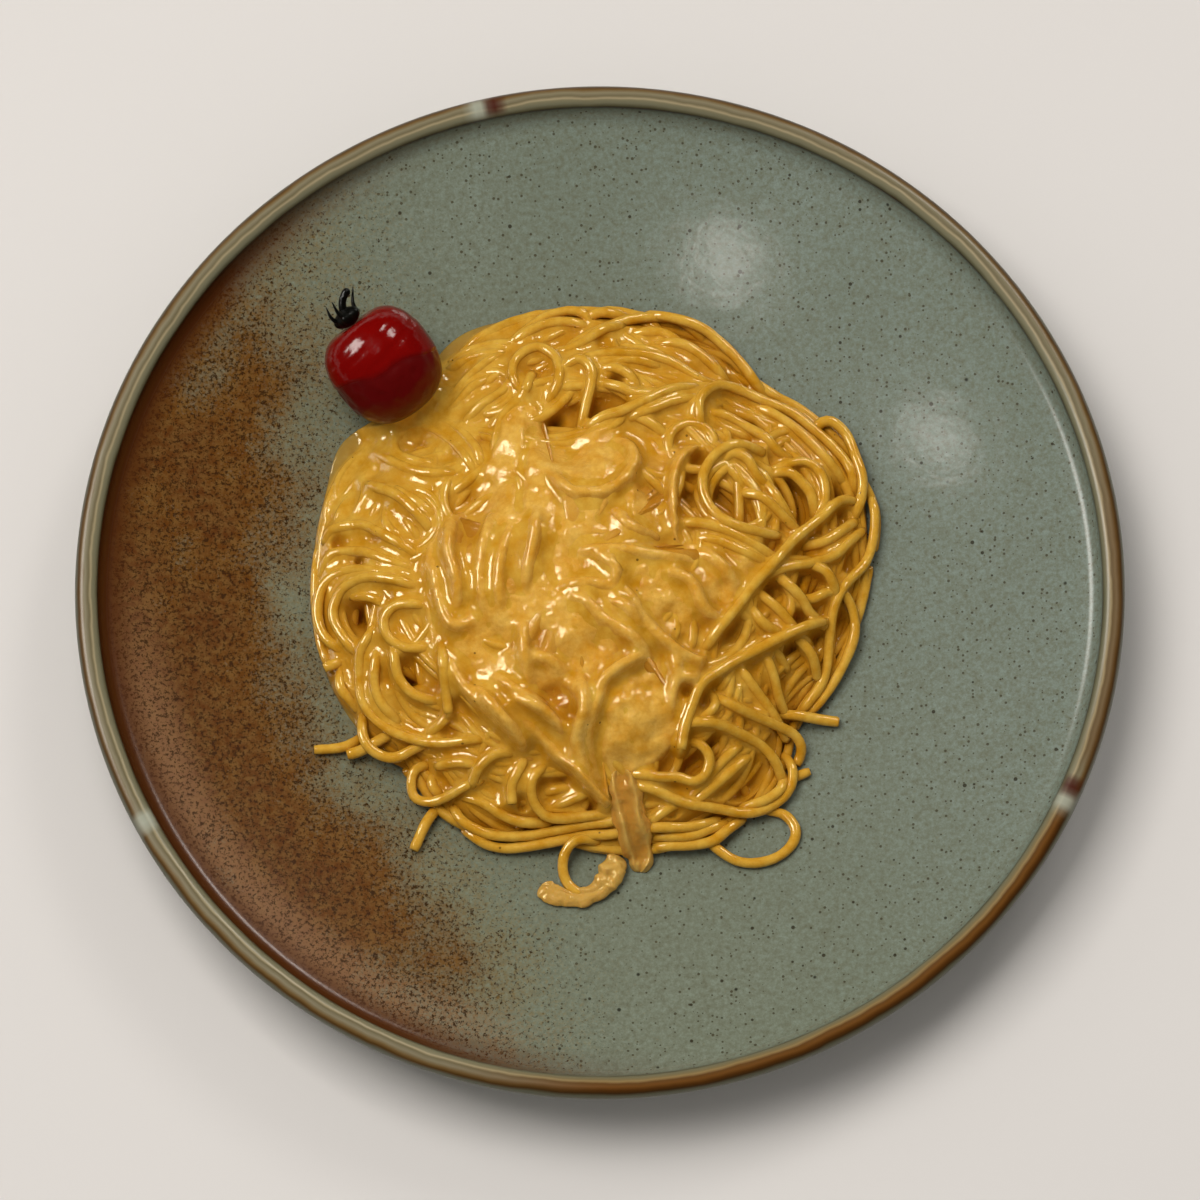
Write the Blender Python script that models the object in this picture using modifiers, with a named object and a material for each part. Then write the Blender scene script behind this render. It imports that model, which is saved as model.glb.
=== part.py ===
"""A shallow stoneware plate with a heap of spaghetti in parmesan sauce.

The plate is one turned body on a foot ring.  The spaghetti is a low mound with the noodles
that show fused onto it, and a thick blanket of sauce covers its crown.  A cherry tomato with
its calyx lies against the far left of the heap.  A ribbon of melted cheese hangs down the near
side, and a curl of it lies on the plate below.

Lengths are millimetres, times MM where they become a mesh.  Bearings are degrees about +Z
from +X, and a plan place is (x, y) from the plate's centre.
"""

import math
import random

import bmesh
import bpy
import numpy as np

MM = 0.001
GAP = 0.35  # air between touching pieces

# Plate
PLATE_RADIUS = 135.0
LIP_TOP = 28.8
LIP_ROUND = 3.0  # radius of the rolled lip
WALL_RADIUS = 129.2  # inner face of the upright edge
FILLET = 5.0  # between the well and the upright edge
WELL_FLOOR = 8.0
WELL_RISE = 13.0
WELL_RADIUS = 123.0
WELL_POWER = 2.2
WELL_RINGS = (30.0, 58.0, 84.0, 106.0)
PLATE_THICKNESS = 5.5
FOOT_OUTER = 77.0
FOOT_INNER = 71.0
FOOT_RECESS = 3.0
FOOT_SPLAY = 1.5
UNDERSIDE_RINGS = (125.0, 108.0, 92.0)
PLATE_STEPS = 60

# Heap of noodles
HEAP_CENTRE = (-2.0, 3.0)
HEAP_RADIUS = 73.0
HEAP_LOBES = (  # bearing, bump or dent, half-spread in degrees
    (24, 4.5, 14),
    (-10, -3.0, 10),
    (-31, -9.0, 13),
    (-97, -4.0, 12),
    (-133, -4.0, 7),
    (133.7, -11.5, 12),
    (95, 3.0, 35),
    (52, -3.0, 8),
)
CORE_INSET = 3.2  # the bare core ends this far inside the outermost noodles
CORE_EDGE = 1.6
CORE_RISE = 28.0
CORE_CROWN_POWER = 2.5
CORE_SKIRT = (0.35, 0.68, 0.9, 1.0)  # rings between the blanket's edge and the core's edge
CORE_UNDER = (0.5, 1.0)
SECTORS = 48

# Noodles
NOODLE_RADIUS = 1.35
NOODLE_STEP = 1.5  # between the places where a noodle's height is found
NEST_KNOT = 4  # every fourth place becomes a point of its tube
SHOWN_KNOT = 3
NOODLE_SINK = 0.55  # into whatever it lies on, so that the two fuse
NOODLE_SHORTEST = 14.0
NEST_NOODLES = 28
NEST_SHARE = (0.64, 1.04)  # of the core's radius
NEST_SWEEP = (36.0, 62.0)
NEST_DRIFT = 0.22
SPREAD_STEPS = (0.754878, 0.569840)  # of a turn and of the share, the even plane sequence
SEED = 11

# Sauce blanket
BLANKET_RADIUS = 45.0
BLANKET_LOBES = (  # bearing, bump or dent, half-spread in degrees
    (122, 6.0, 12),
    (147, -13.0, 10),
    (88, -6.0, 16),
    (56, -9.0, 12),
    (22, -24.0, 13),
    (245, 5.0, 12),
    (273, 11.0, 13),
    (297, 6.0, 8),
    (309, -3.0, 6),
)
BLANKET_RINGS = (0.16, 0.32, 0.46, 0.6, 0.73, 0.85, 0.94, 1.0)
BLANKET_UNDER = (0.32, 0.6, 0.85, 1.0)
BLANKET_EDGE = 1.3
BLANKET_BODY = 2.6
BLANKET_FOLDS = (  # from, to, height, half-width
    ((-22, 44), (-17, 6), 1.8, 4.5),
    ((-6, 38), (-9, 4), 1.2, 4.0),
    ((-30, 8), (-12, 1), 1.3, 4.0),
    ((-38, -6), (-27, -38), 1.4, 4.5),
    ((-8, 2), (34, 4), 1.6, 5.0),
    ((-12, -8), (30, -20), 1.5, 4.5),
    ((-22, -14), (-4, -44), 1.5, 4.5),
    ((4, -16), (3, -50), 1.6, 4.0),
    ((14, -20), (17, -42), 1.2, 3.5),
)

# Cherry tomato, lying on its side
TOMATO_CENTRE = (-56.0, 59.0)
TOMATO_RADIUS = 13.9
TOMATO_HALF_LENGTH = 14.8
TOMATO_SQUARENESS = 2.5
TOMATO_BEARING = 129.0
TOMATO_TILT = 17.0  # of the stalk end above the level
TOMATO_DIMPLE = 2.6
TOMATO_DIMPLE_WIDTH = 0.42
TOMATO_SKIN_EDGE = 0.35  # step where the skin has slipped
TOMATO_TURNS = (166, 150, 136, 122, 108, 96, 94, 82, 70, 56, 42, 28, 14)
TOMATO_STEPS = 24
CALYX_RADIUS = 3.7
CALYX_DEPTH = 2.5
SEPAL_RADIUS = 0.55
STALK_RADIUS = 1.0

# Melted cheese
RIBBON_HALF_WIDTH = 4.0
RIBBON_THICKNESS = 1.5
RIBBON_EDGE = 0.9
CURL_RADIUS = 2.7


def clear_scene():
    """Remove what the scene holds."""
    for thing in list(bpy.data.objects):
        bpy.data.objects.remove(thing)


def collection(name):
    """A new collection under the scene's own."""
    group = bpy.data.collections.new(name)
    bpy.context.scene.collection.children.link(group)
    return group


def material(name, colour, roughness):
    """A plain Principled material; colour is linear red, green and blue."""
    finish = bpy.data.materials.new(name)
    finish.use_nodes = True
    shader = finish.node_tree.nodes["Principled BSDF"]
    shader.inputs["Base Color"].default_value = (*colour, 1.0)
    shader.inputs["Roughness"].default_value = roughness
    shader.inputs["Metallic"].default_value = 0.0
    return finish


def add_mesh(name, points, faces, finish, group):
    """An object from points in millimetres and faces, shaded smooth below 40 degrees."""
    mesh = bpy.data.meshes.new(name)
    mesh.from_pydata((np.asarray(points) * MM).tolist(), [], [list(face) for face in faces])
    mesh.validate()
    thing = bpy.data.objects.new(name, mesh)
    group.objects.link(thing)
    mesh.materials.append(finish)
    mesh.shade_smooth()
    mesh.set_sharp_from_angle(angle=math.radians(40))
    return thing


def evaluated_mesh(thing):
    """The mesh that an object's curve and modifiers give."""
    bpy.context.view_layer.update()
    depsgraph = bpy.context.evaluated_depsgraph_get()
    return bpy.data.meshes.new_from_object(thing.evaluated_get(depsgraph))


# ---------------------------------------------------------------- plate


def well_height(reach):
    """Height of the well's upper surface at a distance from the plate's centre."""
    return WELL_FLOOR + WELL_RISE * (reach / WELL_RADIUS) ** WELL_POWER


def arc(centre, radius, start, end, steps):
    """Points along an arc in the (distance, height) plane, both ends included."""
    angles = np.radians(np.linspace(start, end, steps + 1))
    return [(centre[0] + radius * math.cos(a), centre[1] + radius * math.sin(a)) for a in angles]


def plate_profile():
    """The half section: out over the well, over the lip, and back under to the axis."""
    fillet_out = WALL_RADIUS - FILLET
    slope = math.atan(WELL_RISE * WELL_POWER / WELL_RADIUS)
    start = fillet_out + FILLET * math.sin(slope)
    fillet_up = well_height(start) + FILLET * math.cos(slope)
    lip = (PLATE_RADIUS - LIP_ROUND, LIP_TOP - LIP_ROUND)
    lip_start = math.degrees(math.acos((WALL_RADIUS - lip[0]) / LIP_ROUND))
    profile = [(0.0, WELL_FLOOR)]
    profile += [(ring, well_height(ring)) for ring in WELL_RINGS]
    profile += arc((fillet_out, fillet_up), FILLET, math.degrees(slope) - 90.0, 0.0, 3)
    profile += arc(lip, LIP_ROUND, lip_start, -60.0, 7)
    profile += [(ring, well_height(ring) - PLATE_THICKNESS) for ring in UNDERSIDE_RINGS]
    shoulder = FOOT_OUTER + FOOT_SPLAY
    profile.append((shoulder, well_height(shoulder) - PLATE_THICKNESS))
    profile.append((FOOT_OUTER, 0.0))
    profile.append((FOOT_INNER, 0.0))
    profile.append((FOOT_INNER - FOOT_SPLAY, FOOT_RECESS))
    profile.append((0.0, FOOT_RECESS))
    return profile


def build_plate(group):
    """The half section turned about the upright axis."""
    profile = plate_profile()
    points = [(reach, 0.0, height) for reach, height in profile]
    mesh = bpy.data.meshes.new("plate")
    edges = [(i, i + 1) for i in range(len(points) - 1)]
    mesh.from_pydata((np.array(points) * MM).tolist(), edges, [])
    mesh.materials.append(material("glazed_stoneware", (0.19, 0.21, 0.16), 0.4))
    plate = bpy.data.objects.new("plate", mesh)
    group.objects.link(plate)
    turn = plate.modifiers.new("turn", "SCREW")
    turn.steps = PLATE_STEPS
    turn.render_steps = PLATE_STEPS
    turn.use_merge_vertices = True
    turn.merge_threshold = 0.00001
    turn.use_smooth_shade = True
    return plate


# ---------------------------------------------------------------- heap outline and height


def lobed(bearing, radius, lobes):
    """Reach of a closed outline at a bearing in radians: a circle with bumps and dents."""
    reach = np.full_like(np.asarray(bearing, float), radius)
    for at, height, spread in lobes:
        turn = (bearing - math.radians(at) + math.pi) % (2 * math.pi) - math.pi
        reach = reach + height * np.exp(-((turn / math.radians(spread)) ** 2))
    return reach


def core_outline(bearing):
    """Reach of the bare core about the heap's centre."""
    return lobed(bearing, HEAP_RADIUS, HEAP_LOBES) - CORE_INSET


def blanket_outline(bearing):
    """Reach of the sauce blanket about the heap's centre."""
    return lobed(bearing, BLANKET_RADIUS, BLANKET_LOBES)


def polar(x, y):
    """Distance and bearing of plan places about the heap's centre."""
    dx = np.asarray(x, float) - HEAP_CENTRE[0]
    dy = np.asarray(y, float) - HEAP_CENTRE[1]
    return np.hypot(dx, dy), np.arctan2(dy, dx)


def core_height(x, y):
    """Height of the bare core: a dome over the well with a low upright edge."""
    reach, bearing = polar(x, y)
    share = np.clip(reach / core_outline(bearing), 0.0, 1.0)
    dome = 1.0 - share**CORE_CROWN_POWER
    return well_height(np.hypot(x, y)) + CORE_EDGE + CORE_RISE * dome


def segment_distance(x, y, start, end):
    """Distance of plan places from a straight run between two places."""
    run = np.array(end, float) - np.array(start, float)
    along = ((x - start[0]) * run[0] + (y - start[1]) * run[1]) / (run @ run)
    along = np.clip(along, 0.0, 1.0)
    return np.hypot(x - start[0] - along * run[0], y - start[1] - along * run[1])


def blanket_thickness(x, y):
    """Thickness of the sauce: full in the middle, thin at its edge, with raised folds."""
    reach, bearing = polar(x, y)
    share = np.clip(reach / blanket_outline(bearing), 0.0, 1.0)
    swell = np.sqrt(np.clip(1.0 - share**2, 0.0, 1.0))
    folds = np.zeros_like(reach)
    for start, end, height, width in BLANKET_FOLDS:
        fold = height * np.exp(-((segment_distance(x, y, start, end) / width) ** 2))
        folds = np.maximum(folds, fold)
    return BLANKET_EDGE + BLANKET_BODY * swell + folds * swell**0.5


# ---------------------------------------------------------------- closed bodies from rings


def ring_places(reaches):
    """Plan places of one ring about the heap's centre, one reach for each sector."""
    bearing = np.arange(SECTORS) * 2 * math.pi / SECTORS
    x = HEAP_CENTRE[0] + reaches(bearing) * np.cos(bearing)
    y = HEAP_CENTRE[1] + reaches(bearing) * np.sin(bearing)
    return x, y


def raised(rings, height):
    """Rings of plan places, and the centre, as points on a height function."""
    points = [np.array([[*HEAP_CENTRE, float(height(*HEAP_CENTRE))]])]
    for reaches in rings:
        x, y = ring_places(reaches)
        points.append(np.column_stack([x, y, height(x, y)]))
    return np.concatenate(points)


def sheet_faces(rings, first):
    """Upward triangles of a centre point and its rings, the quads split alike."""
    near = np.arange(SECTORS)
    far = (near + 1) % SECTORS
    faces = [np.column_stack([np.full(SECTORS, first), first + 1 + near, first + 1 + far])]
    for ring in range(rings - 1):
        inner = first + 1 + ring * SECTORS
        outer = inner + SECTORS
        faces.append(np.column_stack([inner + near, outer + near, outer + far]))
        faces.append(np.column_stack([inner + near, outer + far, inner + far]))
    return np.concatenate(faces)


def closed_body(top, bottom, top_rings, bottom_rings):
    """Points and faces of a body with an upper and an under sheet joined round the edge."""
    upper = sheet_faces(top_rings, 0)
    under = sheet_faces(bottom_rings, len(top))[:, ::-1]
    near = np.arange(SECTORS)
    far = (near + 1) % SECTORS
    top_edge = len(top) - SECTORS
    low_edge = len(top) + len(bottom) - SECTORS
    wall = [
        np.column_stack([low_edge + near, low_edge + far, top_edge + far]),
        np.column_stack([low_edge + near, top_edge + far, top_edge + near]),
    ]
    return np.concatenate([top, bottom]), np.concatenate([upper, under, *wall])


def share_of(outline, share):
    """A ring at a share of an outline."""
    return lambda bearing: share * outline(bearing)


def skirt_ring(share):
    """A ring between the blanket's edge and the core's edge."""
    return lambda bearing: (1 - share) * blanket_outline(bearing) + share * core_outline(bearing)


def build_core(group, finish):
    """The bare mound, whose crown has the same rings as the blanket's underside."""
    crown = [share_of(blanket_outline, share) for share in BLANKET_UNDER]
    top = crown + [skirt_ring(share) for share in CORE_SKIRT]
    under = [share_of(core_outline, share) for share in CORE_UNDER]
    points, faces = closed_body(
        raised(top, core_height),
        raised(under, lambda x, y: well_height(np.hypot(x, y)) + GAP),
        len(top),
        len(under),
    )
    return add_mesh("spaghetti", points, faces, finish, group)


def build_blanket(group):
    """The thick sauce over the crown, clear of the core by the gap."""
    top = [share_of(blanket_outline, share) for share in BLANKET_RINGS]
    under = [share_of(blanket_outline, share) for share in BLANKET_UNDER]
    points, faces = closed_body(
        raised(top, lambda x, y: core_height(x, y) + GAP + blanket_thickness(x, y)),
        raised(under, lambda x, y: core_height(x, y) + GAP),
        len(top),
        len(under),
    )
    finish = material("parmesan_sauce", (0.62, 0.35, 0.08), 0.3)
    return add_mesh("parmesan_sauce", points, faces, finish, group)


# ---------------------------------------------------------------- noodles

# Noodles that show most, by the plan places that they pass.
SHOWN_NOODLES = (
    ((36, -58), (28, -63), (36, -68), (48, -65), (51, -59), (45, -55)),
    ((46, -31), (54, -29), (63, -30)),
    ((49, -46), (56, -43)),
    ((66, 26), (69, 16), (66, 7), (61, -1), (58, -12), (57, -19), (52, -27)),
    ((60, 2), (65, -7), (63, -14), (58, -19)),
    ((62, 27), (55, 18), (46, 8), (45, 4)),
    ((53, -9), (47, -13), (43, -15)),
    ((29, -37), (39, -38), (45, -42), (47, -48)),
    ((12, -55), (22, -58), (31, -60), (41, -57)),
    ((24, 42), (27, 50), (34, 54), (43, 51), (54, 43), (64, 34)),
    ((50, 48), (59, 47), (64, 39), (67, 28), (65, 18)),
    ((44, 37), (33, 38), (27, 32), (27, 25), (32, 18), (44, 14)),
    ((42, 30), (49, 29), (54, 24), (54, 16)),
    ((-3, 60), (9, 63), (20, 60), (28, 54)),
    ((-1, 74), (13, 76), (25, 72), (33, 64), (38, 55)),
    ((-24, 55), (-22, 62), (-16, 64), (-11, 59)),
    ((-52, 38), (-49, 45), (-42, 44), (-36, 37)),
    ((-70, 14), (-63, 17), (-55, 14), (-49, 8)),
    ((-62, 1), (-70, 0), (-74, -5), (-71, -11), (-62, -14)),
    ((-48, -5), (-56, -9), (-54, -15), (-47, -17)),
    ((-59, -11), (-62, -20), (-60, -31), (-54, -37), (-45, -39), (-36, -40), (-31, -41)),
    ((-60, -32), (-58, -39), (-52, -43), (-45, -41)),
    ((-60, -37), (-73, -38)),
    ((-45, -42), (-50, -48), (-46, -54), (-37, -53), (-33, -49)),
    ((-42, -51), (-49, -63)),
    ((-41, -53), (-33, -61), (-24, -64), (-13, -63), (-2, -60)),
    ((-1, -62), (-8, -64), (-11, -69), (-8, -73)),
)


def evenly(places, step):
    """Places along a smooth run through a few plan places, an equal step apart."""
    knots = np.array(places, float)
    knots = np.vstack([2 * knots[0] - knots[1], knots, 2 * knots[-1] - knots[-2]])
    share = np.linspace(0.0, 1.0, 24, endpoint=False)[:, None]
    runs = []
    for before, start, end, after in zip(knots, knots[1:], knots[2:], knots[3:]):
        linear = end - before
        square = 2 * before - 5 * start + 4 * end - after
        cube = 3 * start - before - 3 * end + after
        runs.append(start + 0.5 * share * (linear + share * (square + share * cube)))
    dense = np.vstack([*runs, knots[-2]])
    length = np.concatenate([[0.0], np.cumsum(np.hypot(*np.diff(dense, axis=0).T))])
    count = max(3, int(length[-1] / step) + 1)
    stations = np.linspace(0.0, length[-1], count)
    return np.column_stack([np.interp(stations, length, dense[:, axis]) for axis in (0, 1)])


def nest_noodle(number, draw):
    """A plan run round the nest that drifts in or out, by a sequence that spreads the runs evenly."""
    start = 2 * math.pi * number * SPREAD_STEPS[0]
    sweep = math.radians(draw.uniform(*NEST_SWEEP))
    inner, outer = NEST_SHARE
    share = inner + (outer - inner) * (number * SPREAD_STEPS[1] % 1.0)
    drift = draw.uniform(-NEST_DRIFT, NEST_DRIFT)
    along = np.linspace(0.0, 1.0, 7)
    bearing = start + sweep * along
    reach = core_outline(bearing) * np.minimum(share + drift * (along - 0.5), outer)
    x = HEAP_CENTRE[0] + reach * np.cos(bearing)
    y = HEAP_CENTRE[1] + reach * np.sin(bearing)
    return np.column_stack([x, y])


def clear_run(path):
    """The longest stretch of a path that keeps clear of the sauce, the tomato and the cheese."""
    x, y = path.T
    reach, bearing = polar(x, y)
    room = NOODLE_RADIUS + 2 * GAP
    clear = reach > blanket_outline(bearing) + room
    clear &= np.hypot(x - TOMATO_CENTRE[0], y - TOMATO_CENTRE[1]) > TOMATO_HALF_LENGTH + room
    for place, half_width in cheese_footprint():
        clear &= np.hypot(x - place[0], y - place[1]) > half_width + room
    edges = np.flatnonzero(np.diff(np.concatenate([[0], clear.astype(int), [0]])))
    runs = edges.reshape(-1, 2)
    if not len(runs):
        return path[:0]
    start, end = max(runs.tolist(), key=lambda run: run[1] - run[0])
    return path[start:end]


class Pile:
    """A height map of the heap on a square grid, raised by each noodle laid on it."""

    HALF = 100.0
    CELL = 1.0

    def __init__(self):
        side = int(2 * self.HALF / self.CELL) + 1
        lines = np.linspace(-self.HALF, self.HALF, side)
        x, y = np.meshgrid(lines, lines, indexing="ij")
        reach, bearing = polar(x, y)
        inside = reach <= core_outline(bearing)
        self.top = np.where(inside, core_height(x, y), -1000.0)
        span = int(NOODLE_RADIUS / self.CELL) + 1
        steps = np.arange(-span, span + 1)
        dx, dy = np.meshgrid(steps, steps, indexing="ij")
        near = np.hypot(dx, dy) * self.CELL < NOODLE_RADIUS
        self.dx = dx[near]
        self.dy = dy[near]
        spread = np.hypot(self.dx, self.dy) * self.CELL
        self.round = np.sqrt(NOODLE_RADIUS**2 - spread**2)

    def cells(self, path):
        """Grid cells under a noodle's width at each place of its path."""
        grid = np.rint((path + self.HALF) / self.CELL).astype(int)
        return grid[:, :1] + self.dx, grid[:, 1:] + self.dy

    def rest(self, path):
        """Axis height of a noodle that lies on the pile, bridges its hollows and clears the plate."""
        across, along = self.cells(path)
        on_pile = (self.top[across, along] + self.round).max(axis=1) - NOODLE_SINK
        reach = np.hypot(*path.T) + NOODLE_RADIUS
        on_plate = well_height(reach) + NOODLE_RADIUS + GAP
        need = np.maximum(on_pile, on_plate)
        bridged = need.copy()
        for shift in (1, 2):
            bridged[shift:] = np.maximum(bridged[shift:], need[:-shift])
            bridged[:-shift] = np.maximum(bridged[:-shift], need[shift:])
        padded = np.pad(bridged, 2, mode="edge")
        smooth = np.convolve(padded, np.ones(5) / 5, mode="valid")
        return np.maximum(smooth, on_plate)

    def stamp(self, path, height):
        """Raise the pile to the noodle's upper side."""
        across, along = self.cells(path)
        np.maximum.at(self.top, (across, along), height[:, None] + self.round)


def noodle_tube(points, group):
    """A closed six-sided tube along points, as a mesh."""
    curve = bpy.data.curves.new("noodle", "CURVE")
    curve.dimensions = "3D"
    curve.bevel_depth = NOODLE_RADIUS * MM
    curve.bevel_resolution = 1
    curve.use_fill_caps = True
    spline = curve.splines.new("POLY")
    spline.points.add(len(points) - 1)
    for knot, place in zip(spline.points, points * MM):
        knot.co = (*place, 1.0)
    run = bpy.data.objects.new("noodle_run", curve)
    group.objects.link(run)
    mesh = evaluated_mesh(run)
    weld = bmesh.new()
    weld.from_mesh(mesh)
    bmesh.ops.remove_doubles(weld, verts=weld.verts, dist=0.00001)
    weld.to_mesh(mesh)
    weld.free()
    tube = bpy.data.objects.new("noodle", mesh)
    tube.matrix_world = run.matrix_world
    group.objects.link(tube)
    bpy.data.objects.remove(run)
    return tube


def lay_noodles(group):
    """Pile up the nest's noodles by a seeded rule, then the ones that show most."""
    draw = random.Random(SEED)
    runs = [(nest_noodle(number, draw), NEST_KNOT) for number in range(NEST_NOODLES)]
    runs += [(places, SHOWN_KNOT) for places in SHOWN_NOODLES]
    pile = Pile()
    for places, knot in runs:
        path = clear_run(evenly(places, NOODLE_STEP))
        if len(path) * NOODLE_STEP < NOODLE_SHORTEST:
            continue
        height = pile.rest(path)
        pile.stamp(path, height)
        last = len(path) - 1
        knots = np.append(np.arange(0, last - 1, knot), last)
        noodle_tube(np.column_stack([path, height])[knots], group)


def largest_body(mesh):
    """Keep only the largest connected surface: no loose scrap and no sealed hollow."""
    work = bmesh.new()
    work.from_mesh(mesh)
    unseen = set(work.verts)
    bodies = []
    while unseen:
        stack = [unseen.pop()]
        body = set(stack)
        while stack:
            for edge in stack.pop().link_edges:
                for vert in edge.verts:
                    if vert in unseen:
                        unseen.remove(vert)
                        body.add(vert)
                        stack.append(vert)
        bodies.append(body)
    keep = max(bodies, key=len)
    spare = [vert for vert in work.verts if vert not in keep]
    bmesh.ops.delete(work, geom=spare, context="VERTS")
    bmesh.ops.triangulate(work, faces=work.faces)
    work.to_mesh(mesh)
    work.free()


def fuse(thing, group):
    """Join an object with all that a collection holds, and empty the collection."""
    join = thing.modifiers.new("fuse", "BOOLEAN")
    join.operation = "UNION"
    join.operand_type = "COLLECTION"
    join.collection = group
    join.solver = "MANIFOLD"
    mesh = evaluated_mesh(thing)
    thing.modifiers.clear()
    largest_body(mesh)
    mesh.shade_smooth()
    mesh.set_sharp_from_angle(angle=math.radians(40))
    thing.data = mesh
    for piece in list(group.objects):
        bpy.data.objects.remove(piece)
    bpy.data.collections.remove(group)


# ---------------------------------------------------------------- cherry tomato


def tomato_axes():
    """Stalk direction of the tomato and two directions across it."""
    bearing = math.radians(TOMATO_BEARING)
    tilt = math.radians(TOMATO_TILT)
    level = math.cos(tilt)
    stalk = np.array([level * math.cos(bearing), level * math.sin(bearing), math.sin(tilt)])
    across = np.array([-math.sin(bearing), math.cos(bearing), 0.0])
    return stalk, across, np.cross(stalk, across)


def tomato_section(turn):
    """Half-width and place along the stalk of the tomato's outline; turn is 0 at the stalk end."""
    power = 2.0 / TOMATO_SQUARENESS
    width = TOMATO_RADIUS * np.sin(turn) ** power
    along = TOMATO_HALF_LENGTH * np.sign(np.cos(turn)) * np.abs(np.cos(turn)) ** power
    hollow = np.exp(-((width / (TOMATO_DIMPLE_WIDTH * TOMATO_RADIUS)) ** 2))
    along = np.where(turn < math.pi / 2, along - TOMATO_DIMPLE * hollow, along)
    slipped = turn > math.radians(95)
    return width - np.where(slipped, TOMATO_SKIN_EDGE, 0.0), along


def tomato_rings():
    """Rings about the stalk's axis from the far end, and the centre, resting in the well."""
    stalk, across, upward = tomato_axes()
    angle = np.arange(TOMATO_STEPS) * 2 * math.pi / TOMATO_STEPS
    spoke = np.outer(np.cos(angle), across) + np.outer(np.sin(angle), upward)
    widths, alongs = tomato_section(np.radians(TOMATO_TURNS))
    middle = np.array([*TOMATO_CENTRE, 0.0])
    rings = [middle + along * stalk + width * spoke for width, along in zip(widths, alongs)]
    places = np.concatenate(rings)
    lift = np.array([0.0, 0.0, (well_height(np.hypot(*places.T[:2])) - places[:, 2]).max() + GAP])
    return [ring + lift for ring in rings], middle + lift


def capped_tube(rings, first, last):
    """Points and faces of rings that turn left about their travel, with a point at each end."""
    steps = len(rings[0])
    points = np.concatenate([[first], *rings, [last]])
    near = np.arange(steps)
    far = (near + 1) % steps
    end = 1 + len(rings) * steps
    faces = [np.column_stack([np.zeros(steps, int), 1 + far, 1 + near])]
    for ring in range(len(rings) - 1):
        here = 1 + ring * steps
        there = here + steps
        faces.append(np.column_stack([here + near, there + far, there + near]))
        faces.append(np.column_stack([here + near, here + far, there + far]))
    faces.append(np.column_stack([end - steps + near, end - steps + far, np.full(steps, end)]))
    return points, np.concatenate(faces)


def build_tomato(group):
    """A squarish ball dimpled at the stalk end, with a step where the skin has slipped."""
    rings, middle = tomato_rings()
    stalk, _, _ = tomato_axes()
    stalk_end = middle + (TOMATO_HALF_LENGTH - TOMATO_DIMPLE) * stalk
    far_end = middle - TOMATO_HALF_LENGTH * stalk
    points, faces = capped_tube(rings, far_end, stalk_end)
    return add_mesh("cherry_tomato", points, faces, material("tomato", (0.2, 0.004, 0.003), 0.25), group)


def tapered_tube(places, radii, steps):
    """A closed tube through a few places with a radius at each."""
    places = np.array(places, float)
    heading = np.gradient(places, axis=0)
    heading /= np.linalg.norm(heading, axis=1)[:, None]
    side = np.cross(heading, [0.3, 0.9, 0.2])
    side /= np.linalg.norm(side, axis=1)[:, None]
    other = np.cross(heading, side)
    angle = np.arange(steps) * 2 * math.pi / steps
    rings = []
    for place, radius, one, two in zip(places, radii, side, other):
        rings.append(place + radius * (np.outer(np.cos(angle), one) + np.outer(np.sin(angle), two)))
    return capped_tube(rings, places[0], places[-1])


def build_calyx(group):
    """A dark dome in the dimple with a bent stalk stub and curled sepals."""
    stalk, across, upward = tomato_axes()
    _, middle = tomato_rings()
    floor = middle + (TOMATO_HALF_LENGTH - TOMATO_DIMPLE + 2 * GAP) * stalk

    def at(sideways, up, out):
        return floor + sideways * across + up * upward + out * stalk

    finish = material("dried_calyx", (0.004, 0.004, 0.003), 0.6)
    turns = np.radians([150, 110, 90, 75, 60, 40, 20])
    angle = np.arange(12) * 2 * math.pi / 12
    spoke = np.outer(np.cos(angle), across) + np.outer(np.sin(angle), upward)
    lift = CALYX_DEPTH
    rings = [
        at(0, 0, lift + CALYX_DEPTH * math.cos(turn)) + CALYX_RADIUS * math.sin(turn) ** 1.2 * spoke
        for turn in turns
    ]
    points, faces = capped_tube(rings, at(0, 0, 0.1), at(0, 0, 2 * lift))
    dome = add_mesh("tomato_calyx", points, faces, finish, group)
    extras = collection("calyx_parts")
    stub = [at(0, 0, 3), at(0, 0.4, 6), at(-1.6, 0.8, 8.6), at(-4.4, 0.8, 10)]
    tubes = [(stub, [STALK_RADIUS] * 4)]
    for sideways, up, curl in ((-1, 0.1, 2.4), (1, 0.3, 0.6), (0.5, 1, 0.4), (0.2, -1, 0.5)):
        root = at(2.6 * sideways, 2.2 * up, lift)
        knee = at(3.6 * sideways, 3.0 * up, lift + 2.4)
        tip = at(3.6 * sideways - curl, 3.4 * up, lift + 5.4)
        tubes.append(([root, knee, tip], [SEPAL_RADIUS, SEPAL_RADIUS, 0.4 * SEPAL_RADIUS]))
    for places, radii in tubes:
        points, faces = tapered_tube(places, radii, 6)
        add_mesh("calyx_part", points, faces, finish, extras)
    fuse(dome, extras)
    return dome


# ---------------------------------------------------------------- melted cheese

RIBBON_PATH = ((6, -54.5), (7, -60), (8, -66), (10, -72), (9.5, -76))
CURL_PATH = ((-16, -75), (-8, -80), (-1, -79), (1.5, -75), (1.2, -71.5))


def cheese_footprint():
    """Plan places of the cheese with its half-width at each, for noodles to keep clear of."""
    places = [(place, RIBBON_HALF_WIDTH) for place in evenly(RIBBON_PATH, NOODLE_STEP)]
    places += [(place, CURL_RADIUS) for place in evenly(CURL_PATH, NOODLE_STEP)]
    return places


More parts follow.
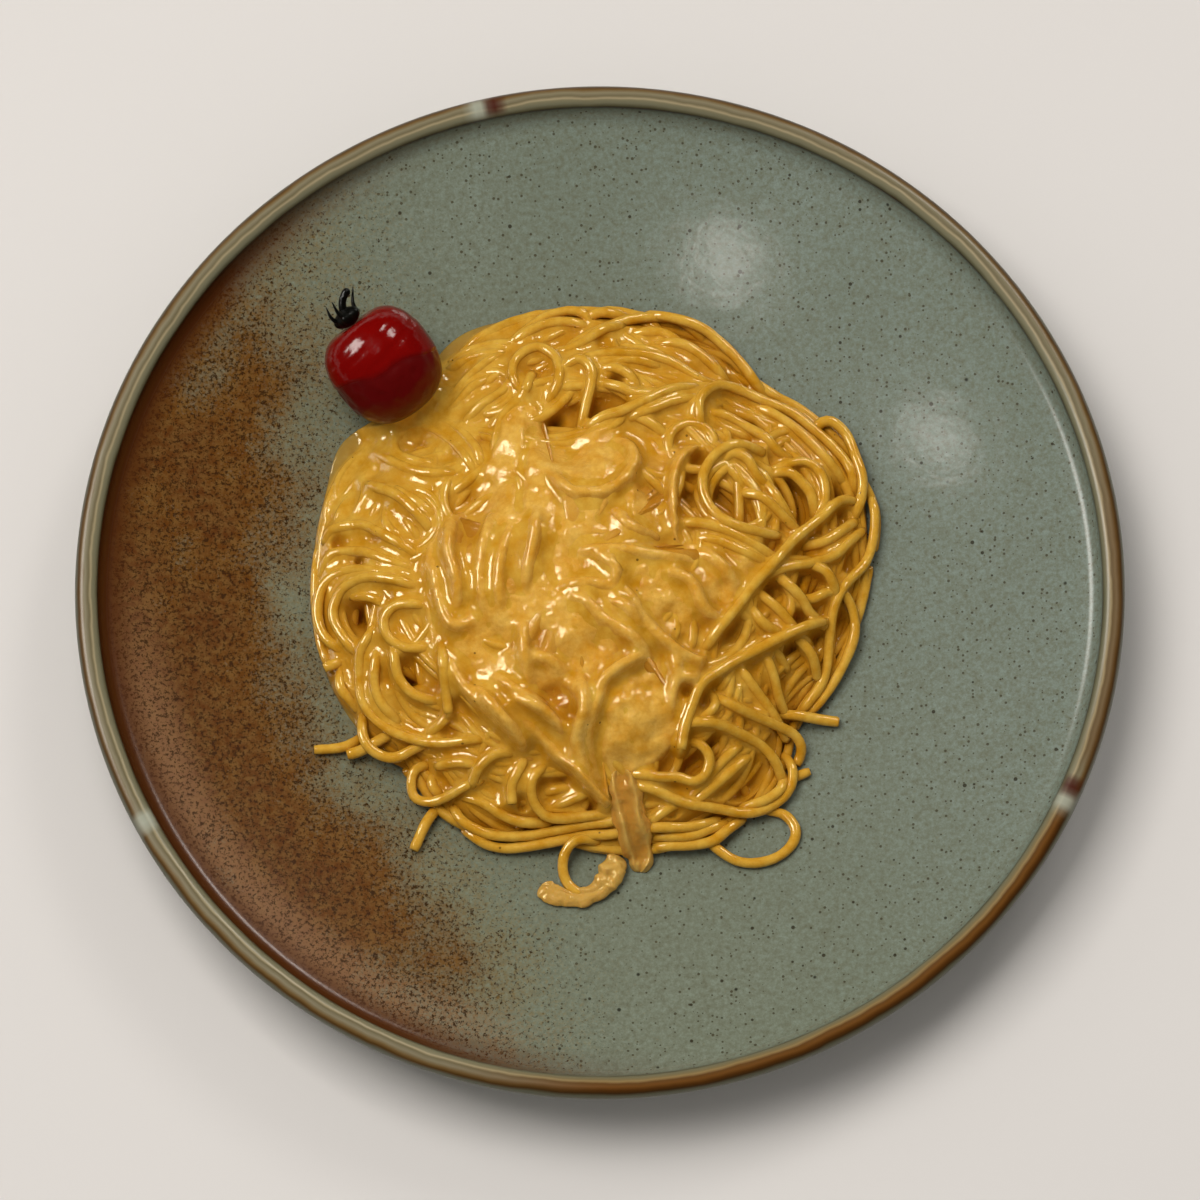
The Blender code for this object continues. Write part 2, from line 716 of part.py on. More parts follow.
def ground(x, y):
    """Upper side of what lies under the cheese: the bare core, or the plate beyond it."""
    reach, bearing = polar(x, y)
    plate = well_height(np.hypot(x, y))
    return np.where(reach < core_outline(bearing) + 1.0, core_height(x, y), plate)


def swept_body(path, section, name, finish, group):
    """A closed body: a section of (sideways, up) points carried level along a plan path."""
    heading = np.gradient(path[:, :2], axis=0)
    heading /= np.linalg.norm(heading, axis=1)[:, None]
    side = np.column_stack([-heading[:, 1], heading[:, 0], np.zeros(len(path))])
    rings = []
    for number, (place, across) in enumerate(zip(path, side)):
        outline = section(number / (len(path) - 1))
        rings.append(place + outline[:, :1] * across + outline[:, 1:] * np.array([0, 0, 1.0]))
    points, faces = capped_tube(rings, rings[0].mean(axis=0), rings[-1].mean(axis=0))
    return add_mesh(name, points, faces, finish, group)


def highest_ground(path, half_width):
    """Highest ground within a half-width of each place, eased along the path."""
    angle = np.linspace(0, 2 * math.pi, 12, endpoint=False)
    x = path[:, :1] + half_width * np.cos(angle)
    y = path[:, 1:] + half_width * np.sin(angle)
    need = np.maximum(ground(x, y).max(axis=1), ground(*path.T))
    padded = np.pad(need, 1, mode="edge")
    return np.maximum(np.maximum(padded[:-2], padded[2:]), need)


def build_ribbon(group, finish):
    """A flat ribbon with raised edges that hangs down the heap's near flank."""
    path = evenly(RIBBON_PATH, 2.4)
    height = highest_ground(path, RIBBON_HALF_WIDTH) + GAP
    half = RIBBON_HALF_WIDTH

    def section(share):
        wide = half * (0.75 + 0.25 * math.sin(math.pi * share))
        across = np.array([-wide, -0.6 * wide, 0.6 * wide, wide, wide, 0.55 * wide, -0.55 * wide, -wide])
        up = np.array([0.0, 0.0, 0.0, 0.0, 1.0, 0.0, 0.0, 1.0]) * RIBBON_EDGE
        up += np.array([0, 0, 0, 0, 1, 1, 1, 1]) * RIBBON_THICKNESS
        return np.column_stack([across, up])

    return swept_body(np.column_stack([path, height]), section, "cheese_ribbon", finish, group)


def build_curl(group, finish):
    """A lumpy rope of cheese that flattens towards its far left end."""
    path = evenly(CURL_PATH, 2.4)
    height = highest_ground(path, CURL_RADIUS) + GAP

    def section(share):
        lump = 1.0 + 0.12 * math.sin(9 * share)
        rise = CURL_RADIUS * (0.55 + 0.45 * share) * lump
        angle = np.radians(np.arange(0, 360, 45) - 157.5)
        across = CURL_RADIUS * lump * np.cos(angle)
        return np.column_stack([across, rise * (1 + np.sin(angle))])

    return swept_body(np.column_stack([path, height]), section, "cheese_curl", finish, group)


def main():
    clear_scene()
    group = collection("spaghetti_plate")
    build_plate(group)
    pasta = material("spaghetti", (0.58, 0.29, 0.045), 0.35)
    core = build_core(group, pasta)
    noodles = collection("noodles")
    lay_noodles(noodles)
    fuse(core, noodles)
    build_blanket(group)
    build_tomato(group)
    build_calyx(group)
    cheese = material("melted_cheese", (0.45, 0.2, 0.05), 0.4)
    build_ribbon(group, cheese)
    build_curl(group, cheese)


main()
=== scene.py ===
import math

import bpy
import numpy as np
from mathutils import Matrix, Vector


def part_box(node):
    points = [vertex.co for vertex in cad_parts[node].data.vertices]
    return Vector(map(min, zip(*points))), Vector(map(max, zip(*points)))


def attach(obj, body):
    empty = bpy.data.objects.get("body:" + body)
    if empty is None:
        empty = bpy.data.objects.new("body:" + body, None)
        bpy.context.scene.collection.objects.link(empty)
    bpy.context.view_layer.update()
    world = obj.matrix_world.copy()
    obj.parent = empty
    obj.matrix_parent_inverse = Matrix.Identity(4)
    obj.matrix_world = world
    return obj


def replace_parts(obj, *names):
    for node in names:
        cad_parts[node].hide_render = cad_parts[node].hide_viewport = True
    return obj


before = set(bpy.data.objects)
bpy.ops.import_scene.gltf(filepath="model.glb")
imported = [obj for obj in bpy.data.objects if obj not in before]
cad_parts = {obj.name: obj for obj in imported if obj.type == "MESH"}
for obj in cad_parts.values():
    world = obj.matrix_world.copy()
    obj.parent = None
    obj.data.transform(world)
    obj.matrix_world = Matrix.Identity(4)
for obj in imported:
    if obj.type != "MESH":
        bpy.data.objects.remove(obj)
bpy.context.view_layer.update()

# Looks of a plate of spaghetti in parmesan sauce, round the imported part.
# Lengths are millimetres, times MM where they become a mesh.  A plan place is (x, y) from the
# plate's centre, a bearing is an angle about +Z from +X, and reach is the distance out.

MM = 0.001
TAU = 2 * math.pi


# ---------------------------------------------------------------- tools


def srgb(code):
    """Linear colour of an sRGB hex code."""
    parts = [int(code[i : i + 2], 16) / 255 for i in (0, 2, 4)]
    return (*[p / 12.92 if p <= 0.04045 else ((p + 0.055) / 1.055) ** 2.4 for p in parts], 1.0)


def wire(tree, node, sockets):
    """Fill a node's sockets, by name, by number or in order: outputs are linked, hex codes are colours."""
    for key, value in sockets.items() if isinstance(sockets, dict) else enumerate(sockets):
        if isinstance(value, bpy.types.NodeSocket):
            tree.links.new(value, node.inputs[key])
        else:
            node.inputs[key].default_value = srgb(value) if isinstance(value, str) else value


def add(tree, kind, sockets=(), out=0, stops=(), **settings):
    """A shader node with its settings, its ramp stops and its sockets; gives back one of its outputs."""
    node = tree.nodes.new("ShaderNode" + kind)
    for name, value in settings.items():
        setattr(node, name, value)
    if stops:
        elements = node.color_ramp.elements
        while len(elements) < len(stops):
            elements.new(1.0)
        for element, (place, colour) in zip(elements, stops):
            element.position = place
            element.color = srgb(colour) if isinstance(colour, str) else (colour, colour, colour, 1.0)
    wire(tree, node, sockets)
    return node.outputs[out]


def new_material(name):
    """A new material, its node tree and its shader."""
    made = bpy.data.materials.new(name)
    made.use_nodes = True
    return made, made.node_tree, made.node_tree.nodes["Principled BSDF"]


def layered(tree, base, *layers):
    """Colours laid one over another, each with its share: (share, colour)."""
    for share, colour in layers:
        base = add(tree, "Mix", {0: share, 6: base, 7: colour}, 2, data_type="RGBA")
    return base


def specks(tree, place, pitch, power, widest, soft, strength):
    """Share of round specks, one chance in each cell `pitch` mm wide; a higher power leaves fewer."""
    cells = add(tree, "TexVoronoi", {"Scale": 1000 / pitch, "Vector": place}).node
    chance = add(tree, "SeparateColor", [cells.outputs["Color"]])
    size = add(tree, "Math", (chance, power), operation="POWER")
    size = add(tree, "Math", (size, widest), operation="MULTIPLY")
    inside = add(tree, "Math", (size, cells.outputs["Distance"]), operation="SUBTRACT")
    return add(tree, "Math", (add(tree, "MapRange", (inside, *soft)), strength), operation="MULTIPLY")


def add_mesh(name, points, blocks, material, values=None):
    """A smooth-shaded piece from points in millimetres, blocks of faces, and named values on its points."""
    mesh = bpy.data.meshes.new(name)
    faces = [face for block in blocks for face in block.tolist()]
    mesh.from_pydata((np.asarray(points) * MM).tolist(), [], faces)
    mesh.materials.append(material)
    mesh.polygons.foreach_set("use_smooth", np.ones(len(mesh.polygons), bool))
    for key, value in (values or {}).items():
        layer = mesh.attributes.new(key, "FLOAT", "POINT")
        layer.data.foreach_set("value", np.asarray(value, np.float32).ravel())
    mesh.update()
    piece = bpy.data.objects.new(name, mesh)
    bpy.context.scene.collection.objects.link(piece)
    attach(piece, "root")
    return piece


def tube_faces(rings, steps):
    """Quads between rings of points that turn left about their travel, and the triangles of the fans

    that close the first and the last ring on a point before and a point after them all.
    """
    near = np.arange(steps)
    far = (near + 1) % steps
    here = 1 + np.arange(rings - 1)[:, None] * steps
    sides = np.stack([here + near, here + far, here + steps + far, here + steps + near], -1)
    end = 1 + rings * steps
    first = np.stack([np.zeros(steps, int), 1 + far, 1 + near], -1)
    last = np.stack([end - steps + near, end - steps + far, np.full(steps, end)], -1)
    return sides.reshape(-1, 4), np.concatenate([first, last])


def swell(x, y, size, seed):
    """Smooth random waves between -1 and 1: a random lattice `size` apart, eased between its knots."""
    size_of = 97  # knots before the lattice repeats
    lattice = np.random.default_rng(seed).uniform(-1, 1, (size_of, size_of))
    u = np.asarray(x) / size + 500.37
    v = np.asarray(y) / size + 500.71
    i = np.floor(u).astype(int)
    j = np.floor(v).astype(int)
    s = u - i
    t = v - j
    s = s * s * s * (s * (6 * s - 15) + 10)
    t = t * t * t * (t * (6 * t - 15) + 10)
    i, far_i, j, far_j = i % size_of, (i + 1) % size_of, j % size_of, (j + 1) % size_of
    near = lattice[i, j] * (1 - s) + lattice[far_i, j] * s
    far = lattice[i, far_j] * (1 - s) + lattice[far_i, far_j] * s
    return near * (1 - t) + far * t


def step(value, low, high):
    """0 below low, 1 above high, eased between."""
    share = np.clip((np.asarray(value) - low) / (high - low), 0, 1)
    return share * share * (3 - 2 * share)


# ---------------------------------------------------------------- plate

PLATE_RADIUS = 135.0
LIP_TOP = 28.8
LIP_ROUND = 3.0
WALL_RADIUS = 129.2
FILLET = 5.0
WELL_FLOOR = 8.0
WELL_RISE = 13.0
WELL_RADIUS = 123.0
WELL_POWER = 2.2
THICKNESS = 5.5
FOOT_REACH = 78.4
FOOT_INSIDE = 3.0  # height of the underside within the foot ring


def well_height(reach):
    """Height of the well's upper surface."""
    return WELL_FLOOR + WELL_RISE * (np.asarray(reach) / WELL_RADIUS) ** WELL_POWER


def arc(centre, radius, start, end, steps):
    """Points along an arc in the (reach, height) plane."""
    angle = np.radians(np.linspace(start, end, steps + 1))
    return np.column_stack([centre[0] + radius * np.cos(angle), centre[1] + radius * np.sin(angle)])


def plate_profile():
    """The half section: out over the well, over the rolled lip, and back under the foot ring."""
    slope = math.atan(WELL_RISE * WELL_POWER / WELL_RADIUS)
    out = WALL_RADIUS - FILLET
    up = float(well_height(out + FILLET * math.sin(slope))) + FILLET * math.cos(slope)
    lip = (PLATE_RADIUS - LIP_ROUND, LIP_TOP - LIP_ROUND)
    lip_start = math.degrees(math.acos((WALL_RADIUS - lip[0]) / LIP_ROUND))
    well = np.linspace(2.0, out, 44)
    under = np.linspace(130.0, FOOT_REACH + 0.6, 14)
    foot = [(FOOT_REACH, well_height(FOOT_REACH + 0.1) - THICKNESS), (77.2, 0.4), (76.7, 0.0), (71.3, 0.0),
            (70.8, 0.4)]
    return np.vstack([
        np.column_stack([well, well_height(well)]),
        arc((out, up), FILLET, math.degrees(slope) - 88, 0, 12),
        arc(lip, LIP_ROUND, lip_start, -60, 26),
        np.column_stack([under, well_height(under) - THICKNESS]),
        foot,
        [(69.5, FOOT_INSIDE - 0.4), (68.8, FOOT_INSIDE), (30.0, FOOT_INSIDE), (2.0, FOOT_INSIDE)],
    ])


SPRAY_CLOUDS = (  # plan place, spread, strength of the iron spray
    ((-103, 19), 24, 0.55), ((-84, 27), 13, 0.34), ((-97, 72), 17, 0.42), ((-62, 102), 13, 0.34),
    ((-79, 98), 12, 0.3), ((-82, -55), 22, 0.5), ((-76, -80), 20, 0.5), ((-46, -95), 17, 0.45),
    ((-26, -117), 14, 0.35), ((-92, -14), 16, 0.36), ((-48, -66), 12, 0.18), ((-66, -20), 10, 0.1),
    ((-110, -20), 18, 0.4), ((-86, 50), 11, 0.16), ((-100, -45), 18, 0.4), ((-30, -84), 12, 0.14),
)


# Bearing of a kiln mark, how far round its pale patch lies, and how dark its own patch is.
LIP_MARKS = ((102.1, 4.0, 1.0), (208.4, 0.0, 0.0), (336.0, -4.0, 1.0))


def plate_values(points, along):
    """Where the glaze changes, at each point of the plate; `along` is the way across the lip from its crest.

    spray: iron spray on the left; haze: painted sheen, paler; side: the left of the lip's ring, iron and
    painted shade;
    mark and pale: kiln marks; broken: how far the lip breaks to brown; cool: the bluer side of the glaze.
    """
    x, y, z = points.T
    reach = np.hypot(x, y)
    bearing = np.degrees(np.arctan2(y, x)) % 360
    thick = step(bearing, 104, 174) * (1 - step(bearing, 218, 284))
    spray = thick * (0.43 * step(reach, 54, 82) + 0.5 * step(reach, 78, 106))
    for (cx, cy), spread, strength in SPRAY_CLOUDS:
        spray = spray + 0.16 * strength * np.exp(-((x - cx) ** 2 + (y - cy) ** 2) / spread**2)
    # Painted sheen: the outer ring on the left and lower left is made paler, standing in for a reflection of
    # the light.
    painted_sheen = step(reach, 109, 118) * step(bearing, 172, 200) * (1 - step(bearing, 255, 275))
    mark = np.zeros_like(x)
    pale = np.zeros_like(x)
    for at, turned, dark in LIP_MARKS:
        away = np.radians((bearing - at + 180) % 360 - 180) * reach
        mark = mark + dark * np.exp(-((away / 2.5) ** 4) - (along / 2.8) ** 4)
        pale = pale + np.exp(-(((away - turned) / 2.6) ** 4) - (along / 3.2) ** 4)
    broken = 0.3 + 0.7 * step(bearing, 250, 272) * (1 - step(bearing, 331, 336))
    broken = broken + 0.35 * (step(bearing, 337, 341) + 1 - step(bearing, 4, 22))
    upper = z > well_height(reach) - 1
    return {"spray": spray * upper, "lip": along, "painted_sheen": painted_sheen * upper, "mark": mark, "pale": pale,
            "side": step(bearing, 106, 146) * (1 - step(bearing, 240, 286)), "broken": broken,
            "cool": step(x * 0.85 + y * 0.5, -60, 110)}


def build_plate():
    """The half section carried round the upright axis in equal steps, closed at both poles."""
    steps = 480
    profile = plate_profile()
    bearing = np.arange(steps) * TAU / steps
    reach = profile[:, 0, None]
    x = reach * np.cos(bearing)
    y = reach * np.sin(bearing)
    z = np.repeat(profile[:, 1, None], steps, 1)
    rings = np.stack([x, y, z], -1)[::-1].reshape(-1, 3)
    points = np.vstack([[[0, 0, FOOT_INSIDE]], rings, [[0, 0, WELL_FLOOR]]])
    length = np.concatenate([[0], np.cumsum(np.hypot(*np.diff(profile, axis=0).T))])
    crest = length[np.argmax(profile[:, 1])]
    along = np.concatenate([[200], np.repeat((length - crest)[::-1], steps), [-200]])
    sides, fans = tube_faces(len(profile), steps)
    piece = add_mesh("stoneware_plate", points, (sides[:, ::-1], fans[:, ::-1]), stoneware(),
                     plate_values(points, along))
    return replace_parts(piece, "plate")


def stoneware():
    """Sage glaze with iron specks, an iron-brown spray and a lip where the glaze breaks brown."""
    made, tree, shader = new_material("glazed stoneware")
    place = add(tree, "TexCoord", out="Object")
    spray, lip, side, painted_sheen, mark, pale, broken, cool = [
        add(tree, "Attribute", out="Fac", attribute_name=name)
        for name in ("spray", "lip", "side", "painted_sheen", "mark", "pale", "broken", "cool")]
    drift, mottle, cloud, grain, patch, mist, waver, ripple = [
        add(tree, "TexNoise", {"Vector": place, "Scale": 1000 / size, "Detail": detail, "Roughness": rough})
        for size, detail, rough in ((38.0, 3, 0.5), (1.3, 4, 0.75), (17.0, 5, 0.62), (0.9, 4, 0.8),
                                    (2.6, 4, 0.7), (0.95, 4, 0.8), (12.0, 3, 0.5), (9.0, 4, 0.55))]
    # The glaze pools a little unevenly, so its green drifts over the plate, and it is bluer to the right.
    tint = layered(tree, "7c7e60", (cool, "789094"))
    green = layered(tree, layered(tree, "727e6f", (drift, "859286")), (0.22, tint),
                    (add(tree, "MapRange", (mottle, 0.3, 0.7)), "666957"))
    # Iron specks that melt through the glaze: many fine ones, a few large.
    for pitch, power, widest, tone in ((1.2, 2.6, 0.34, "45402f"), (2.6, 6.0, 0.21, "2c2416"),
                                       (5.0, 8.0, 0.13, "1c150c")):
        green = layered(tree, green, (specks(tree, place, pitch, power, widest, (-0.03, 0.03), 0.85), tone))
    # Sprayed iron: a stain that thickens outwards, grained by the glaze, under a mist of dark dots.
    cloud = add(tree, "Math", (cloud, 0.5), operation="SUBTRACT")
    cloud = add(tree, "Math", (cloud, 1.6, 1.0), operation="MULTIPLY_ADD")
    thick = add(tree, "MapRange", [add(tree, "Math", (spray, cloud), operation="MULTIPLY")])
    grain = add(tree, "Math", (grain, 0.5), operation="SUBTRACT")
    stain = add(tree, "Math", (grain, 1.4, thick), operation="MULTIPLY_ADD")
    stain = add(tree, "MapRange", (stain, 0.16, 0.74))
    brown = add(tree, "ValToRGB", [thick],
                stops=((0.0, "938b62"), (0.3, "7d6d40"), (0.55, "674a20"), (0.8, "623a0e"), (1.0, "5a3210")))
    patch = add(tree, "MapRange", (patch, 0.38, 0.62))
    # Brown patches in the glaze, and a painted sheen that makes the outer left paler.
    brown = layered(tree, brown, (add(tree, "Math", (patch, 0.5), operation="MULTIPLY"), "80602f"),
                    (add(tree, "Math", (painted_sheen, 0.6), operation="MULTIPLY"), "8a6646"))
    level = add(tree, "Math", (thick, 0.6), operation="MINIMUM")
    level = add(tree, "Math", (level, -0.17, 0.63), operation="MULTIPLY_ADD")
    dots = add(tree, "Math", (mist, level), operation="SUBTRACT")
    dots = add(tree, "MapRange", (dots, -0.01, 0.03))
    dots = add(tree, "Math", (dots, add(tree, "MapRange", (thick, 0.02, 0.18))), operation="MULTIPLY")
    strength = add(tree, "MapRange", (thick, 0.5, 1.0, 0.95, 0.85))
    dots = add(tree, "Math", (dots, strength), operation="MULTIPLY")
    # The steep ring inside the lip: purple brown on the left, partly iron glaze and partly painted shade.
    ring = add(tree, "ValToRGB", [add(tree, "MapRange", (lip, -16.0, -2.0))],
               stops=((0.0, 0.0), (0.3, 0.6), (0.55, 1.0), (0.92, 1.0), (1.0, 0.0)))
    # Across the lip, from the inside out: painted shade in the crevice, green, a pale painted highlight along
    # the crest, then the brown break.
    waver = add(tree, "Math", (waver, 0.5), operation="SUBTRACT")
    across = add(tree, "Math", (waver, 1.6, lip), operation="MULTIPLY_ADD")
    across = add(tree, "MapRange", (across, -4.0, 4.0))
    sage = add(tree, "ValToRGB", [across],
               stops=((0.0, "2b0f04"), (0.1, "57553f"), (0.22, "77765f"), (0.33, "7c7a62"), (0.39, "a39a7c"),
                      (0.46, "6b684f"), (0.58, "84846c"), (0.7, "77613a"), (0.8, "54380f"), (0.93, "58594a")))
    rust = add(tree, "ValToRGB", [across],
               stops=((0.0, "2b0f04"), (0.1, "57553f"), (0.22, "6f6c54"), (0.33, "786a48"), (0.39, "8a744a"),
                      (0.48, "5c3b10"), (0.58, "6b451a"), (0.7, "4f2e0a"), (0.8, "3c270c"), (0.92, "55543f")))
    on_lip = add(tree, "ValToRGB", [add(tree, "MapRange", (lip, -5.0, 7.0))],
                 stops=((0.0, 0.0), (0.12, 1.0), (0.9, 1.0), (1.0, 0.0)))
    # Over the green: iron stain and dots, the ring's iron and painted shade, the lip with its painted shade
    # and highlight, and the kiln marks.
    body = layered(tree, green, (stain, brown), (dots, "301c08"),
                   (add(tree, "Math", (ring, side), operation="MULTIPLY"), "4a250b"),
                   (on_lip, layered(tree, sage, (broken, rust))),
                   (add(tree, "Math", (pale, 0.8), operation="MULTIPLY"), "a3a898"),
                   (add(tree, "Math", (mark, 0.95), operation="MULTIPLY", use_clamp=True), "45150b"))
    # A glossy fired glaze: the spray is a little drier than the green, and the worn lip and ring are duller.
    worn = add(tree, "Math", (on_lip, ring), operation="MAXIMUM")
    dull = add(tree, "Math", (worn, 0.3), operation="MULTIPLY")
    rough = add(tree, "MapRange", {0: stain, 3: 0.12, 4: 0.22})
    wire(tree, shader, {
        "Base Color": body, "IOR": 1.5,
        "Roughness": add(tree, "Math", (rough, dull), operation="MAXIMUM"),
        "Specular IOR Level": add(tree, "MapRange", {0: worn, 3: 0.5, 4: 0.22}),
        "Normal": add(tree, "Bump", {"Strength": 0.25, "Distance": 0.0003, "Height": ripple}),
    })
    return made


# ---------------------------------------------------------------- heap outline

HEAP_CENTRE = (-2.0, 3.0)
HEAP_RADIUS = 73.0
HEAP_LOBES = (  # bearing, bump or dent, half-spread in degrees
    (24, 4.5, 14), (-10, -3.0, 10), (-31, -9.0, 13), (-97, -4.0, 12), (-133, -4.0, 7),
    (133.7, -11.5, 12), (95, 3.0, 35), (52, -3.0, 8),
)


def lobed(bearing, radius, lobes):
    """Reach of a closed outline at a bearing in radians: a circle with bumps and dents."""
    reach = np.full_like(np.asarray(bearing, float), radius)
    for at, height, spread in lobes:
        turn = (bearing - math.radians(at) + math.pi) % TAU - math.pi
        reach = reach + height * np.exp(-((turn / math.radians(spread)) ** 2))
    return reach


def heap_outline(bearing):
    """Reach of the heap's outermost noodles about its centre."""
    return lobed(bearing, HEAP_RADIUS, HEAP_LOBES)


def polar(x, y):
    """Distance and bearing of plan places about the heap's centre."""
    dx = np.asarray(x, float) - HEAP_CENTRE[0]
    dy = np.asarray(y, float) - HEAP_CENTRE[1]
    return np.hypot(dx, dy), np.arctan2(dy, dx)


def mound(x, y, rise=28.0, edge=1.6, inset=3.2):
    """Height of a dome over the well."""
    reach, bearing = polar(x, y)
    share = np.clip(reach / (heap_outline(bearing) - inset), 0, 1)
    return well_height(np.hypot(x, y)) + edge + rise * (1 - share**2.5)


# ---------------------------------------------------------------- noodles

NOODLE = 1.3  # radius
SLIM = 0.3  # the sauce lies this far inside a noodle's side
SEED = 11


def evenly(places, gap):
    """Places along a smooth run through a few plan places, an equal gap apart."""
    knots = np.array(places, float)
    knots = np.vstack([2 * knots[0] - knots[1], knots, 2 * knots[-1] - knots[-2]])
    share = np.linspace(0, 1, 24, endpoint=False)[:, None]
    runs = []
    for before, start, end, after in zip(knots, knots[1:], knots[2:], knots[3:]):
        linear = end - before
        square = 2 * before - 5 * start + 4 * end - after
        cube = 3 * start - before - 3 * end + after
        runs.append(start + 0.5 * share * (linear + share * (square + share * cube)))
    dense = np.vstack([*runs, knots[-2]])
    length = np.concatenate([[0], np.cumsum(np.linalg.norm(np.diff(dense, axis=0), axis=1))])
    stations = np.linspace(0, length[-1], max(4, int(length[-1] / gap) + 1))
    return np.column_stack([np.interp(stations, length, dense[:, k]) for k in range(dense.shape[1])])


def smooth(line, width):
    """A running mean along a line, its ends held."""
    padded = np.pad(line, width, mode="edge")
    return np.convolve(padded, np.ones(2 * width + 1) / (2 * width + 1), mode="valid")


FREE_ENDS = (  # noodle ends that lie in sight
    (61.5, -32.7), (54, -45.7), (-73.5, -40.5), (-65, -42), (-47.8, -67), (-22.5, -57), (-71, -19.5),
    (-19.5, 51), (-38.7, -34.5), (20.8, -44.5), (2, -58.2),
)
DIVE = 7.0  # length over which a hidden end sinks
DIVE_DEPTH = 3.4
NEST_RUNS = 150
STRAY_RUNS = 36
SPREAD = (0.754878, 0.569840)  # steps that spread a sequence of pairs evenly over a square


def dive(path, gap):
    """How far each place of a noodle sinks towards a hidden end: a parabola over the last stretch."""
    sink = np.zeros(len(path))
    away = gap * np.arange(len(path))
    for end, run in ((path[0], away), (path[-1], away[::-1])):
        if min(math.hypot(end[0] - x, end[1] - y) for x, y in FREE_ENDS) > 1.0:
            sink = sink + DIVE_DEPTH * np.clip(1 - run / DIVE, 0, 1) ** 2
    return sink


class Heap:
    """A height map on a square grid, raised by each noodle laid on it."""

    HALF = 92.0
    CELL = 0.35
    GAP = 0.6  # between the places of a noodle

    def __init__(self):
        lines = np.arange(-self.HALF, self.HALF + self.CELL / 2, self.CELL)
        self.x, self.y = np.meshgrid(lines, lines, indexing="ij")
        reach, bearing = polar(self.x, self.y)
        inside = reach < heap_outline(bearing) - 5
        self.plate = well_height(np.hypot(self.x, self.y))
        body = np.maximum(mound(self.x, self.y, 22.5, -1.0, 5.0), self.plate - 5)
        self.top = np.where(inside, body, self.plate - 5)
        self.slim = self.top.copy()
        self.limit = mound(self.x, self.y) + 0.8
        span = int(2.0 / self.CELL) + 1
        steps = np.arange(-span, span + 1)
        self.di, self.dj = [part.ravel() for part in np.meshgrid(steps, steps, indexing="ij")]

    def cells(self, path):
        """Grid cells about each place of a path, and their distances from it."""
        i = np.rint((path[:, :1] + self.HALF) / self.CELL).astype(int) + self.di
        j = np.rint((path[:, 1:2] + self.HALF) / self.CELL).astype(int) + self.dj
        i = np.clip(i, 0, self.x.shape[0] - 1)
        j = np.clip(j, 0, self.x.shape[0] - 1)
        away = np.hypot(self.x[i, j] - path[:, :1], self.y[i, j] - path[:, 1:2])
        return i, j, away

    def read(self, field, x, y):
        """A field between its grid points."""
        u = np.clip((np.asarray(x) + self.HALF) / self.CELL, 0, self.x.shape[0] - 1.001)
        v = np.clip((np.asarray(y) + self.HALF) / self.CELL, 0, self.x.shape[0] - 1.001)
        i = u.astype(int)
        j = v.astype(int)
        s = u - i
        t = v - j
        low = field[i, j] * (1 - s) + field[i + 1, j] * s
        high = field[i, j + 1] * (1 - s) + field[i + 1, j + 1] * s
        return low * (1 - t) + high * t

    def depth_of(self, points):
        """How far each point lies below the crest, the surface that a large ball rolls over."""
        x, y, z = points.T
        return np.clip(self.read(self.crest, x, y) - z, 0, 30)

    def lay(self, path, radius=NOODLE, sink=0.5, tight=8, over=None):
        """Axis of a noodle that lies on the heap, spans its hollows and clears the plate."""
        i, j, away = self.cells(path)
        belly = np.sqrt(np.clip(radius**2 - away**2, 0, None))
        need = np.where(away < radius, self.top[i, j] + belly, -1000).max(axis=1) - sink
        floor = well_height(np.hypot(*path.T) + radius) + radius
        limit = self.read(self.limit, *path.T) if over is None else self.read(over, *path.T)
        need = np.maximum(np.minimum(need, limit), floor)
        height = need
        for _ in range(tight):
            height = np.maximum(need, smooth(height, 4))
        height = smooth(smooth(height, 3), 3) - dive(path, self.GAP)
        height = np.maximum(height, floor)
        self.stamp(path, height, radius)
        return np.column_stack([path, height])

    def stamp(self, path, height, radius):
        """Raise the maps to a noodle's upper side."""
        i, j, away = self.cells(path)
        for field, size in ((self.top, radius), (self.slim, radius - SLIM)):
            near = away < size
            up = (height[:, None] + np.sqrt(np.clip(size**2 - away**2, 0, None)))[near]
            np.maximum.at(field, (i[near], j[near]), up)

    def roll(self, field, radius):
        """The field closed by a ball rolled over it."""
        span = int(radius / self.CELL + 0.001)
        steps = [(a, b, radius**2 - (a * a + b * b) * self.CELL**2)
                 for a in range(-span, span + 1) for b in range(-span, span + 1)]
        offsets = [(a, b, math.sqrt(left)) for a, b, left in steps if left > 0]
        size = field.shape[0]
        pad = np.pad(field, span, mode="edge")
        raised = np.full_like(field, -1e9)
        for a, b, lift in offsets:
            np.maximum(raised, pad[span + a : span + a + size, span + b : span + b + size] + lift, out=raised)
        pad = np.pad(raised, span, mode="edge")
        closed = np.full_like(field, 1e9)
        for a, b, lift in offsets:
            np.minimum(closed, pad[span + a : span + a + size, span + b : span + b + size] - lift, out=closed)
        return closed


def blur(field, cells):
    """A square running mean of a grid, twice."""
    for _ in range(2):
        for axis in (0, 1):
            pad = [(0, 0), (0, 0)]
            pad[axis] = (cells + 1, cells)
            total = np.cumsum(np.pad(field, pad, mode="edge"), axis=axis)
            width = 2 * cells + 1
            if axis == 0:
                field = (total[width:] - total[:-width]) / width
            else:
                field = (total[:, width:] - total[:, :-width]) / width
    return field


